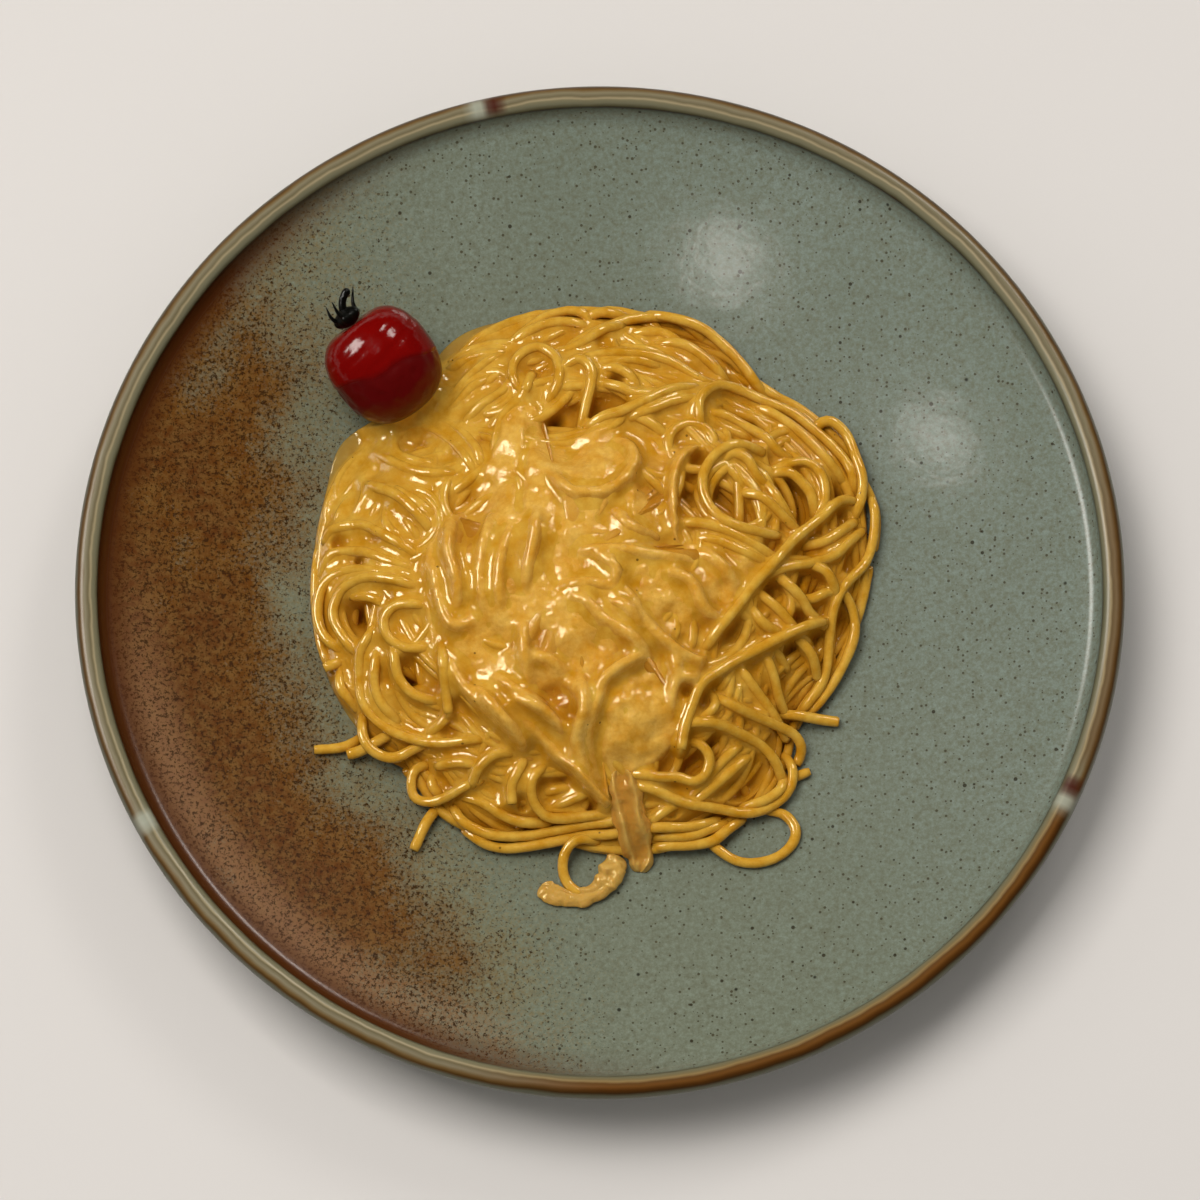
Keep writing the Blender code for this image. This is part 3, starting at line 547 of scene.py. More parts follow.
# Noodles that show, by the plan places that they pass, each laid on the ones before it.
UNDER_NOODLES = (
    # left
    ((-67.5, 15), (-67.5, 20), (-65, 25), (-62, 28)),
    ((-64, 14), (-63.5, 19), (-61, 24), (-60.5, 28), (-62, 31)),
    ((-55, 22), (-54.5, 15), (-49, 11)),
    ((-51, 19), (-48, 14), (-46, 11)),
    ((-53, 26), (-47.5, 21.5), (-42, 17)),
    ((-60, 28), (-53, 24), (-48, 19), (-43, 13.5)),
    ((-71, 14), (-69, 17), (-61.5, 17), (-57, 14), (-52, 10.5), (-46, 6.5)),
    ((-72, 5), (-70.5, 9), (-68, 11), (-62, 10), (-58, 8), (-54.5, 6), (-46, 3)),
    ((-45, -1), (-54.5, 2.3), (-60, 4.5), (-66, 5.4), (-70.5, 3.5), (-72.5, -0.5), (-72.8, -5.3),
     (-71.5, -10), (-69, -13), (-64.5, -15.5)),
    ((-64, -1), (-58, -3), (-54.5, -5.5)),
    ((-45, -2), (-54.5, 1), (-58.5, 2), (-62.3, 2), (-66.2, 0.4), (-68.4, -3.2), (-68.6, -6.7),
     (-67, -10.4), (-64.5, -14), (-61, -17)),
    ((-42, -7), (-48.5, -6), (-52.7, -6.3), (-55.3, -9), (-55, -13), (-52.2, -16), (-48.4, -17.4),
     (-42, -17)),
    # far left
    ((-39, 63), (-34, 65.5), (-28, 67), (-20, 67)),
    ((-40, 60.5), (-34, 63), (-28, 64), (-22, 64)),
    ((-46, 50), (-39, 52.5), (-34, 57), (-29, 61.5), (-24, 64)),
    ((-42, 47.5), (-37, 50), (-33, 54), (-28, 57)),
    ((-36, 43), (-31, 48), (-25, 52), (-22, 57)),
    ((-50, 46), (-41, 46), (-36, 42), (-32, 36), (-30, 30)),
    ((-32, 29), (-36, 36), (-40, 41), (-45, 45), (-50, 44.5), (-53, 41), (-52, 36.5), (-47, 33.5), (-42, 33)),
    ((-58, 38), (-52, 33), (-45, 29.5), (-36, 29)),
    # far
    ((-24, 66), (-18, 72), (-14, 75), (-9, 76.5), (-5, 76), (-3, 74), (-4, 72)),
    ((-23, 67), (-16, 71.5), (-11, 73), (-6, 72.7), (-2, 71)),
    ((-4, 74.5), (0, 76), (5, 75.5), (9, 74)),
    ((-9, 64), (-3, 68.5), (2, 71.5), (8, 74), (15, 75), (21, 74), (28, 69)),
    ((-12, 62), (-5, 65.5), (1, 70), (6, 72)),
    ((12, 76), (25, 72.5), (31, 68.5), (36, 63.5), (40, 58), (43, 54)),
    ((8, 70), (16, 70), (21, 66.5), (26, 61)),
    ((14, 67), (22, 66), (29, 61), (33, 56)),
    ((-5, 58.5), (1, 59.2), (9, 60.5), (17, 59)),
    ((-7, 60), (-1, 61.5), (5, 62.2), (11, 62), (18, 60.5), (26, 56), (31, 55)),
    ((-1, 57.5), (4, 57.5), (8, 55), (10.5, 50)),
    ((0, 54), (5, 52), (10, 50), (18, 52)),
    ((-19, 50), (-22, 54), (-22.5, 59), (-20, 63), (-16, 64.5), (-12, 62), (-10.5, 58), (-11, 53), (-14, 48)),
    ((-17.5, 57), (-19.5, 51)),
    ((-10, 58), (-5.5, 60), (-2.5, 57.5), (-2.3, 53), (-3.5, 48), (-5, 41)),
    ((7, 43), (13, 45.5), (19, 48.5), (27, 50.5)),
    ((-4, 40.5), (1, 43.5), (6, 45), (12, 48), (18, 51.5), (25, 53.5)),
    # far right
    ((66, 34), (69, 29), (71, 24), (71.3, 19), (70.5, 13)),
    ((27, 46.5), (32, 46), (37, 43.5), (42.5, 40), (46, 36.5), (50, 34.5)),
    ((39, 51), (47, 46.5), (53, 41.5), (58, 36), (63, 30)),
    ((26, 41), (25.5, 48), (27.5, 52), (31, 54.5), (36, 54), (42.5, 51.5), (50, 48.5), (55, 44.5), (60, 40),
     (64.5, 34), (66, 27)),
    ((55, 44), (57.5, 46.5), (60.5, 46.5), (64, 43), (66.3, 36.5), (67.8, 31), (67.3, 25.5), (65, 20)),
    ((42, 28), (46, 22), (50, 16)),
    ((36, 24), (42, 22), (48, 17), (52, 14)),
    ((31, 31), (34, 34), (38, 32.5), (40, 29), (43, 26)),
    ((44, 31), (49, 33), (53, 33.8), (56.5, 31.5), (58, 27), (57.5, 22.5), (54, 18)),
    ((44, 30), (48.5, 30.5), (52, 28), (54.5, 24.5), (55.5, 19)),
    # right
    ((66, 20), (62, 16), (57, 12.5), (50, 11)),
    ((56, 1), (62, 0.5), (65, -3.5), (65.7, -9), (64, -15), (61, -21), (57, -27), (53, -31)),
    ((51, -3), (55, -2.5), (58.5, -0.5), (62, 0.5)),
    ((70, 27), (71, 22), (70.5, 15), (68.5, 9), (65, 4.5), (62, 0), (60, -5), (59, -12), (58.5, -18),
     (56.5, -24), (51, -31)),
    ((68, 18), (64, 13.5), (60, 9), (53.5, 6), (48, 4.5), (41, 1)),
    ((53.5, 6.5), (58.5, 4), (61, -1)),
    ((46, 2), (51.5, -3), (54, -6.5), (58, -9)),
    ((40, -2), (46, -7), (50, -11), (54, -14)),
    ((38, -6), (42, -11), (47, -13)),
    ((50, -12), (54.5, -17), (56, -22)),
    ((42, -17), (44.5, -22.5), (46, -28), (48, -32)),
    ((35, -21), (39, -26), (44, -32), (48, -38)),
    ((24, 11), (31, 9.5), (38, 6.5), (44, 4.5)),
    ((19, 14.5), (24, 14.5), (29, 13.5), (34.5, 11.5), (39.6, 9), (46, 5.5)),
    ((46, -31.5), (51, -31.7), (61.5, -32.7)),
    ((48, -48), (54, -45.7)),
    ((28, -29), (34, -32), (40, -34), (46, -35.5), (50, -37), (51.8, -40), (50.5, -44)),
    # near right
    ((42.5, -56), (47.5, -57.5), (50.2, -61.5), (49.2, -65.5), (45.5, -68.8), (40.3, -70.3), (35, -69.7),
     (30, -66.5), (27, -63)),
    ((13, -66), (22, -66), (28.5, -65), (32.5, -62), (37, -58)),
    ((13, -63.5), (22, -64), (28, -62), (33, -59.5)),
    ((12, -61), (16, -58.5), (22, -55)),
    ((11, -62), (20, -62), (26, -61), (31, -59)),
    ((38.5, -43), (34, -47.5), (30, -51), (26.4, -54), (22, -57)),
    ((36.5, -40.5), (32, -45), (26.5, -51), (22, -56)),
    ((47, -41), (49.5, -46), (48.5, -51), (44.5, -55), (38.3, -57.5), (30, -57), (22.3, -56.5), (14.6, -53.8),
     (8, -51.5)),
    ((47, -46), (46.5, -51), (42, -54.5), (36, -56)),
    ((22, -41), (26, -42.5), (28, -45.5), (27, -49.5), (24, -51.5), (20, -50.5), (14, -50.5), (7, -49)),
    ((22, -38), (27, -35.5), (29.5, -32), (28, -28)),
    ((20, -37.5), (30, -37.5), (36.3, -39), (41.4, -41), (45, -44.5), (47, -49)),
    # near
    ((-35, -61), (-30, -65), (-25, -66.3), (-19, -66), (-12, -65), (-4, -63.5), (3, -63.5), (12, -62)),
    ((-38, -55), (-35.5, -59.5), (-31.5, -62), (-27, -63.5), (-19, -63.5), (-11.5, -62.3), (-4, -61),
     (3.5, -60.5), (12, -58)),
    ((-36, -53), (-29.5, -56), (-24.5, -59), (-19, -60.5), (-12, -60)),
    ((-15, -53), (-6, -52)),
    ((-14, -57), (-8, -55.5), (0, -52.5)),
    ((-13, -46), (-17, -50.5), (-17.5, -54.5), (-15.5, -58), (-12, -59.7), (-4, -59.3), (4, -58.7)),
    ((-19, -45), (-22.5, -52), (-22.5, -57)),
    ((0, -64.5), (-6, -65), (-9, -68.2), (-9.5, -72.5), (-8, -76), (-5, -78.5)),
    # near left
    ((-73.5, -40.5), (-65.5, -39.5), (-60, -36)),
    ((-65, -42), (-60, -40.3), (-53, -36.5)),
    ((-71, -19.5), (-65.5, -17)),
    ((-66.5, -19), (-67, -22), (-66.3, -25.5), (-62, -30)),
    ((-53, -15), (-52, -23.5), (-48.3, -28.3), (-43.8, -30.2), (-39, -30)),
    ((-36.5, -27.5), (-33, -32), (-29, -36)),
    ((-44, -38.5), (-40.5, -36), (-37, -32)),
    ((-61, -31), (-61, -37), (-59.3, -40.6), (-56, -42.8), (-52.5, -43.3), (-49, -42), (-44, -39.5)),
    ((-57, -15), (-58, -24), (-56, -30), (-51, -35)),
    ((-57.5, -10), (-61.3, -16), (-61.8, -21), (-61.3, -27.5), (-58.8, -32.3), (-54.5, -36.2), (-49, -39),
     (-42.7, -40.7), (-36, -41), (-29, -40.5)),
    ((-41.5, -55), (-44.7, -60), (-47.8, -67)),
    ((-43, -46), (-43, -50), (-40, -54)),
    ((-42, -46), (-36, -46), (-28, -48)),
    ((-22, -44), (-27, -45), (-31, -48), (-33, -52)),
    ((-44, -44.5), (-47.5, -46.3), (-48.5, -50), (-47.3, -53.5), (-43.2, -54.7), (-38.7, -53.7), (-34.5, -52),
     (-30, -50)),
)
# Noodles that run just under the thick sauce and raise it.
INNER_NOODLES = (
    ((-42, 10), (-43.5, 4), (-42, -4)),
    ((-36, 14), (-38, 4), (-36, -6)),
    ((-16, 16), (-17, 8), (-18, 3), (-19.5, -5)),
    ((-19.5, -12), (-19.5, -19.5), (-18, -28)),
    ((-17, -22), (-13.5, -22.5), (-9, -26)),
    ((-8.5, -27), (-5.3, -31.5), (-4.8, -36.5), (-7, -40), (-11, -42)),
    ((2, -27), (-0.8, -33.5), (-2.8, -39.5), (-2.8, -46), (0.5, -57.5)),
    ((-5, -27), (-4, -35), (-6, -44), (-2, -53)),
    ((-33, -27), (-30, -31), (-25.5, -35), (-18, -38.5), (-11.5, -45), (-5, -52), (2, -58.2)),
    ((-27, -26), (-22, -30), (-15.5, -33.5), (-12, -37)),
    ((-10, -4), (-2.5, -3.5), (6, -5), (10, -11), (14.5, -16), (20, -20), (25, -22), (31, -22)),
    ((0, -8), (4.5, -8.5), (8, -14), (11, -20)),
    ((19, -21), (19.7, -26.5), (18.5, -31), (17.5, -36)),
    ((20, -26.5), (29, -27)),
    ((-13, 27), (-8, 21.5), (-4.5, 20.5), (1, 21), (5, 23.5), (8, 27.5), (9, 31), (7.5, 35), (4, 37)),
    ((3.5, 17), (7.5, 12), (14, 10)),
    ((-6, 5.5), (5, 5.5), (14, 4.5), (24, 4)),
    ((26.5, 36.5), (22.5, 33.5), (20, 30), (19, 24.5), (19.2, 20), (19.7, 14), (20, 9)),
    ((-8, -6), (-3.3, -8.5), (0.7, -12.7), (4.7, -15.2), (10.3, -19.4), (12, -22)),
    ((2.3, -7.7), (7, -10.2), (10.3, -14.4)),
    ((11, -21.5), (6.3, -24), (2.3, -27), (-1, -31)),
    ((-40, -19), (-34.7, -28.6), (-28, -35), (-21, -42)),
    ((-31, -30), (-26, -36), (-20, -43)),
    ((-22, -32), (-15, -35.5), (-9, -40)),
    ((-38, 16), (-39, 7), (-36.5, -3), (-37, -10)),
    ((-28, 15), (-30, 6), (-30.7, -3), (-29, -10)),
    ((-22.5, 13), (-25, 5), (-26, -3), (-25, -10)),
    ((-43, 5), (-41, -6), (-38, -13), (-32, -12)),
    ((-1, 5), (4, 0), (3, -5)),
    ((24, 7), (30, 4), (35, -2)),
    ((16, 1), (23, -2), (27, -9), (33, -12)),
)
OVER_NOODLES = (
    ((46, 12.5), (41, 12.5), (35, 13.5), (30.5, 16), (27.5, 20), (26.3, 25), (27.5, 30), (31, 34.5),
     (36, 36.5),
     (42, 35.5)),
    ((66, 25), (62, 24), (56.7, 18.5), (50.5, 12.5), (45.3, 5.5), (39.6, -1.3), (35, -8), (30.3, -14),
     (26, -19)),
    ((58, -8), (53, -10.5), (48.5, -13), (42, -16.5), (36, -20), (30.3, -24), (26, -28), (23.5, -33.5),
     (21.5, -39.5), (20.8, -44.5)),
    ((-40.5, -16), (-40, -23), (-39.5, -28.5), (-38.7, -34.5)),
)
HOLES = (  # plan place and spread of the deep gaps between noodles
    (35, 47.5, 3), (33.3, 42, 2.2), (43, 43.5, 2.6), (18.5, 33, 1.8), (47, 24, 4), (52, 29.5, 2),
    (59.5, 25, 2.6),
    (39, 30, 2.2), (58, 16.5, 2), (45, 10, 1.8), (38, 12, 1.8), (54, 0.5, 3), (61.5, 17, 2), (52, -15, 2.4),
    (26, -24.5, 1.6), (22.5, -29, 2), (31, -33, 2), (29.5, -44.5, 3.4), (36, -49, 3), (12.5, -57, 1.8),
    (18, -58.5, 1.6), (37, -36, 2), (-20, -47, 2.2), (-10, -50, 2.6), (-2.5, -56, 2), (-20.5, -56, 1.8),
    (-16.5, 59, 2.4), (-12, 43.5, 2), (4, 54, 1.8), (-62, 7.5, 2), (-58, 13.5, 1.5), (-67.5, 13.5, 1.6),
    (-47, 16, 2.4), (-46.5, 39.5, 1.6), (-30.5, 39, 1.4), (-33.5, 22.5, 1.8), (-61, -5, 3), (-57, -22, 2.6),
    (-48, -23, 2.8), (-50, -32, 2.6), (45, -27, 2.4), (51, -24, 2.4), (57, -12, 2), (-29, -41.5, 1.5),
)


def nest_noodle(number, draw):
    """A run round the nest that drifts and wavers, by a sequence that spreads the runs evenly."""
    start = TAU * (number * SPREAD[0] % 1)
    share = 0.12 + 0.9 * math.sqrt(number * SPREAD[1] % 1)
    sweep = math.radians(draw.uniform(35, 95)) / max(share, 0.35)
    drift = draw.uniform(-0.35, 0.35)
    wave = draw.uniform(0.01, 0.05)
    phase = draw.uniform(0, TAU)
    along = np.linspace(0, 1, 11)
    bearing = start + sweep * along
    reach = share + drift * (along - 0.5) + wave * np.sin(phase + along * TAU * draw.uniform(0.8, 1.8))
    reach = (heap_outline(bearing) - 1.5) * np.clip(reach, 0.05, 1.0)
    return HEAP_CENTRE + reach[:, None] * np.column_stack([np.cos(bearing), np.sin(bearing)])


def stray_noodle(draw):
    """A looser run that turns one way and then the other across the heap."""
    stride = 4.5
    bearing = draw.uniform(0, TAU)
    reach = 60 * math.sqrt(draw.uniform(0.05, 1))
    place = np.array([HEAP_CENTRE[0] + reach * math.cos(bearing), HEAP_CENTRE[1] + reach * math.sin(bearing)])
    heading = draw.uniform(0, TAU)
    turn = draw.uniform(-0.14, 0.14)
    change = draw.uniform(-0.01, 0.01)
    places = [place]
    for _ in range(int(draw.uniform(9, 20))):
        place = place + stride * np.array([math.cos(heading), math.sin(heading)])
        heading += turn * stride
        turn += change
        far, at = polar(*place)
        if far > heap_outline(at) - 2:
            break
        places.append(place)
    return np.array(places)


TOMATO_CENTRE = (-56.0, 59.0)
TOMATO_CLEAR = 16.8  # no noodle of the nest comes nearer to it


def clear_runs(path):
    """The stretches of a path that keep clear of the tomato and stay over the heap."""
    clear = np.hypot(path[:, 0] - TOMATO_CENTRE[0], path[:, 1] - TOMATO_CENTRE[1]) > TOMATO_CLEAR
    edges = np.flatnonzero(np.diff(np.concatenate([[0], clear.astype(int), [0]]))).reshape(-1, 2)
    return [path[start:end] for start, end in edges if end - start > 12]


def noodle_rings(axis, radius, steps, draw):
    """Points of a round noodle: a circle carried along its axis, narrower at each cut end,

    its width wavering a little, with a point before and a point after.
    """
    heading = np.gradient(axis, axis=0)
    heading /= np.linalg.norm(heading, axis=1)[:, None]
    side = np.column_stack([-heading[:, 1], heading[:, 0], np.zeros(len(axis))])
    side /= np.linalg.norm(side, axis=1)[:, None]
    lift = np.cross(heading, side)
    angle = np.arange(steps) * TAU / steps
    count = len(axis)
    width = radius * (1 + 0.035 * smooth(draw.standard_normal(count), 2) * 2)
    width[[0, -1]] *= 0.82
    rings = axis[:, None] + width[:, None, None] * (
        np.cos(angle)[:, None] * side[:, None] + np.sin(angle)[:, None] * lift[:, None])
    return np.vstack([axis[:1], rings.reshape(-1, 3), axis[-1:]])


def build_noodles(name, axes, heap, steps=10):
    """All the noodles of one piece: each a closed tube."""
    draw = np.random.default_rng(5)
    points = []
    quads = []
    fans = []
    first = 0
    for axis, radius in axes:
        axis = axis[::2] if (len(axis) - 1) % 2 == 0 else np.vstack([axis[::2], axis[-1:]])
        block = noodle_rings(axis, radius, steps, draw)
        sides, ends = tube_faces(len(axis), steps)
        points.append(block)
        quads.append(sides + first)
        fans.append(ends + first)
        first += len(block)
    points = np.vstack(points)
    return add_mesh(name, points, (*quads, *fans), PASTA, {"depth": heap.depth_of(points)})


# ---------------------------------------------------------------- sauce

BLANKET_EDGE = (  # plan places round the thick sauce, anticlockwise
    (45, 1.5), (42, 3.5), (36.5, 6.5), (29, 8.5), (21.5, 10), (20.7, 14), (20.5, 20), (20.5, 26), (22.5, 31),
    (26.5, 35.5), (22, 37), (17, 35), (14, 38), (10, 41), (4, 42), (-2.5, 40), (-8, 38.5), (-14, 40.5),
    (-15.5, 47.5), (-20.5, 48.5), (-25.5, 44), (-26.5, 38.5), (-30, 31), (-31.5, 24.5), (-34.5, 20),
    (-39.5, 17),
    (-43, 12.5), (-46, 8), (-47.5, 4.5), (-46, -4.5), (-44, -18), (-42, -22.5), (-38.5, -27), (-35, -31.5),
    (-31, -37), (-28.5, -41), (-22, -46), (-14.5, -47), (-10, -48.5), (-4, -54), (1, -58.5), (3.5, -57.5),
    (4, -52), (8.5, -50), (14.5, -47.5), (18, -45), (21.5, -42), (24.5, -34), (26.5, -27), (27.5, -22),
    (30.5, -15.5), (35.5, -8), (40.5, -1.5),
)


def inside_edge(x, y, edge):
    """Signed distance inside a closed outline; positive inside."""
    loop = evenly(np.vstack([edge, edge[:1]]), 1.5)
    flat = np.column_stack([np.ravel(x), np.ravel(y)])
    away = np.full(len(flat), 1e9)
    wind = np.zeros(len(flat), int)
    for (ax, ay), (bx, by) in zip(loop, loop[1:]):
        rx, ry = bx - ax, by - ay
        share = np.clip(((flat[:, 0] - ax) * rx + (flat[:, 1] - ay) * ry) / (rx * rx + ry * ry + 1e-12), 0, 1)
        away = np.minimum(away, np.hypot(flat[:, 0] - ax - share * rx, flat[:, 1] - ay - share * ry))
        cross = (ay > flat[:, 1]) != (by > flat[:, 1])
        with np.errstate(divide="ignore", invalid="ignore"):
            hit = flat[:, 0] < ax + rx * (flat[:, 1] - ay) / ry
        wind += cross & hit
    return np.where(wind % 2 == 1, away, -away).reshape(np.shape(x))


def segment(x, y, places):
    """Distance from a broken line."""
    best = np.full(np.shape(x), 1e9)
    for (ax, ay), (bx, by) in zip(places, places[1:]):
        rx, ry = bx - ax, by - ay
        share = np.clip(((x - ax) * rx + (y - ay) * ry) / (rx * rx + ry * ry), 0, 1)
        best = np.minimum(best, np.hypot(x - ax - share * rx, y - ay - share * ry))
    return best


FOLDS = (  # a ridge or groove of the thick sauce: plan places, height, half-width
    (((-17.7, 40), (-19.8, 32), (-20.8, 24), (-20.8, 17)), -1.5, 1.0),
    (((-3, 8.5), (6, 9.3), (19, 9.5)), -0.9, 1.1),
    (((-1, -38), (-1, -47)), -0.8, 1.2),
    (((-33, 17), (-37, 12)), -0.5, 1.2),
    (((-24, 14), (-30, 2), (-32, -8)), -0.7, 2.2),
    (((-11, 12), (-12, 2), (-13, -8)), -0.8, 2.2),
    (((-24, 36), (-26, 20), (-28, 8)), 1.1, 3.2),
    (((-15.5, 34), (-15.5, 20), (-17.5, 2)), 1.0, 2.8),
    (((-1, -34), (9, -38)), 0.5, 3.0),
    (((2, -42), (9, -45)), 0.4, 2.6),
    (((-38, -12), (-28, -11)), 0.7, 2.4),
)
PITS = (  # a pit of the thick sauce, or a bump where the depth is negative: plan place, depth, spread
    ((-27, -19), 2.2, 5.0), ((-14, -17), 2.4, 3.0), ((-1, -18), 2.4, 3.2), ((-12, -31), 2.4, 3.0),
    ((23, -17.5), 2.4, 2.6), ((17.5, -11), 1.4, 1.8), ((11.5, 24), 3.2, 2.8), ((-9, 33), 0.8, 4.0),
    ((15, 28), 1.0, 2.0), ((25, -24.5), 2.0, 1.6), ((10, -27), 1.6, 3.6), ((2, 14), 1.0, 3.0),
    ((22, -2), 0.8, 4.0),
    ((8, -37), -1.5, 6.0), ((13.5, -33), 0.7, 1.8), ((-8, -17), -1.0, 2.0), ((3, -12), -1.4, 4.0),
    ((-36, -12), -0.6, 5.0), ((-24, -8), -0.5, 5.0),
)
WET = (  # plan place, spread and strength of the thin sauce
    ((-64, 30), 20, 0.9), ((-38, 58), 20, 0.9), ((-66, 0), 16, 0.6), ((-10, 66), 18, 0.5),
    ((-46, -14), 20, 0.5),
    ((-68, 22), 12, 0.9), ((-56, 42), 12, 0.6), ((-42, 36), 14, 0.6), ((-20, -62), 14, 0.8),
    ((20, -62), 10, 0.6),
    ((62, -30), 8, 0.6), ((-58, -38), 12, 0.4), ((40, 24), 20, -0.6), ((26, -48), 14, -0.4),
    ((58, -12), 14, -0.5),
    ((38, -62), 12, 0.5), ((20, 60), 16, 0.3),
)
SAUCE_LOBES = ((160, 2.6, 24), (122, 5.6, 14), (135, 8.0, 9), (148, 4.2, 8), (100, 1.0, 12), (200, 1.4, 10))


def build_heap():
    """Noodles piled up by a seeded rule, thin sauce rolled between them, thick sauce over the crown."""
    heap = Heap()
    draw = np.random.default_rng(SEED)
    depth = inside_edge(heap.x, heap.y, BLANKET_EDGE)
    hole = np.zeros_like(heap.x)
    for cx, cy, spread in HOLES:
        hole = np.maximum(hole, np.exp(-(((heap.x - cx) ** 2 + (heap.y - cy) ** 2) / spread**2)))
    heap.limit = heap.limit - 5.5 * hole
    heap.top = heap.top - 6.0 * hole
    heap.slim = heap.slim - 6.0 * hole
    # the nest, the strays, and then the runs that show
    laid = []
    for number in range(NEST_RUNS):
        for run in clear_runs(evenly(nest_noodle(number, draw), heap.GAP)):
            radius = NOODLE * draw.uniform(0.92, 1.08)
            laid.append((heap.lay(run, radius), radius))
    for _ in range(STRAY_RUNS):
        places = stray_noodle(draw)
        if len(places) < 4:
            continue
        for run in clear_runs(evenly(places, heap.GAP)):
            radius = NOODLE * draw.uniform(0.92, 1.08)
            laid.append((heap.lay(run, radius), radius))
    heap.limit = heap.limit + 4.0 + 3.0 * hole
    for places in UNDER_NOODLES:
        radius = NOODLE * draw.uniform(1.0, 1.12)
        laid.append((heap.lay(evenly(places, heap.GAP), radius, 0.6, 14), radius))
    # thick sauce: it rounds off the noodles below, thickens inwards and is raised by the inner ones
    first = heap.roll(heap.slim, 1.2)
    under = blur(heap.roll(heap.top, 5.0), 4)
    thick = np.sqrt(1 - (1 - np.clip(depth / 15, 0, 1)) ** 2)
    crown = mound(heap.x, heap.y) + 2.2 + 1.2 * thick
    keep = step(depth, 2, 12)
    crown = (under + 0.1) * (1 - keep) + crown * keep
    for places, height, width in FOLDS:
        crown = crown + height * np.exp(-((segment(heap.x, heap.y, places) / width) ** 2))
    for (cx, cy), height, spread in PITS:
        crown = crown - height * np.exp(-(((heap.x - cx) ** 2 + (heap.y - cy) ** 2) / spread**2))
    for size, height, seed in ((9.0, 1.1, 3), (4.6, 0.6, 4), (2.3, 0.3, 7)):
        crown = crown + height * swell(heap.x, heap.y, size, seed)
    rumpled = np.maximum(step(heap.x, -6, 8), step(-heap.y, 24, 32))
    crown = crown + rumpled * (0.6 * swell(heap.x, heap.y, 3.4, 15) + 0.3 * swell(heap.x, heap.y, 1.9, 16))
    saved = heap.top.copy(), heap.slim.copy()
    heap.top = np.where(depth > -2, crown, heap.top)
    heap.slim = heap.top.copy()
    high = heap.top + 10
    for places in INNER_NOODLES:
        heap.lay(evenly(places, heap.GAP), NOODLE * 1.3, 0.5, 6, high)
    body = blur(heap.roll(heap.top, 1.1), 1)
    body = body + 0.13 * swell(heap.x, heap.y, 1.4, 12)
    heap.top, heap.slim = saved
    share = np.clip(depth / 1.5, 0, 1)
    edge = np.sqrt(1 - (1 - share) ** 2)
    blanket = first - 1.2 + (body - first + 1.2) * edge
    blanket = np.where(depth > -0.8, blanket, first - 1.5)
    inside = depth > 0.3
    heap.top = np.where(inside, np.maximum(heap.top, blanket), heap.top)
    heap.slim = np.where(inside, np.maximum(heap.slim, blanket), heap.slim)
    over = []
    high = heap.top + 10
    for places in OVER_NOODLES:
        over.append((heap.lay(evenly(places, heap.GAP), NOODLE * 1.08, 0.9, 14, high), NOODLE * 1.08))
    # thin sauce: more of it to the left and the far left, banked up against the tomato
    dx = heap.x - TOMATO_CENTRE[0]
    dy = heap.y - TOMATO_CENTRE[1]
    side = (np.degrees(np.arctan2(dy, dx)) + 50) / 62
    bank = 11.5 * np.exp(-(((np.hypot(dx, dy) - 12) / 5) ** 2)) * np.exp(-(side**4))
    heap.slim = np.maximum(heap.slim, heap.plate - 0.6 + bank)
    near = heap.roll(heap.slim, 0.8)
    mid = heap.roll(heap.slim, 1.7)
    far = heap.roll(heap.slim, 4.0)
    wet = 1.15 + 0.4 * swell(heap.x, heap.y, 11, 8)
    for (cx, cy), spread, strength in WET:
        wet = wet + strength * np.exp(-(((heap.x - cx) ** 2 + (heap.y - cy) ** 2) / spread**2))
    wet = np.clip(wet - 1.5 * hole, 0, 3)
    coat = np.where(wet < 1, near + (mid - near) * wet, mid + (far - mid) * np.minimum(wet - 1, 1))
    coat = coat + 0.6 * np.clip(wet - 2, 0, 1)
    coat = blur(coat, 1) - 0.1 + 0.07 * swell(heap.x, heap.y, 3.1, 5)
    blanket = np.maximum(blanket, np.where(depth > 0.8, near, -1000))
    heap.crest = blur(heap.roll(np.maximum(heap.top, heap.plate), 6.0), 3)
    return heap, laid, over, coat, blanket, depth


def sauce_outline(bearing):
    """Reach of the thin sauce about the heap's centre."""
    return lobed(bearing, 0.0, SAUCE_LOBES) + heap_outline(bearing) - 2.4


def dome_body(centre, bearing, reaches, top, bottom):
    """Points and faces of a body given as rings about a centre: its upper and its under sheet."""

    def sheet(reach, height):
        x = centre[0] + reach * np.cos(bearing)
        y = centre[1] + reach * np.sin(bearing)
        return np.stack([x, y, height(x, y)], -1)

    under = sheet(reaches[[-1, len(reaches) // 2]], bottom)
    rings = np.concatenate([under[::-1], sheet(reaches, top)[::-1]]).reshape(-1, 3)
    x, y = np.array(centre)[:, None]
    first = [[*centre, float(bottom(x, y)[0])]]
    last = [[*centre, float(top(x, y)[0])]]
    return np.vstack([first, rings, last]), tube_faces(len(reaches) + 2, len(bearing))


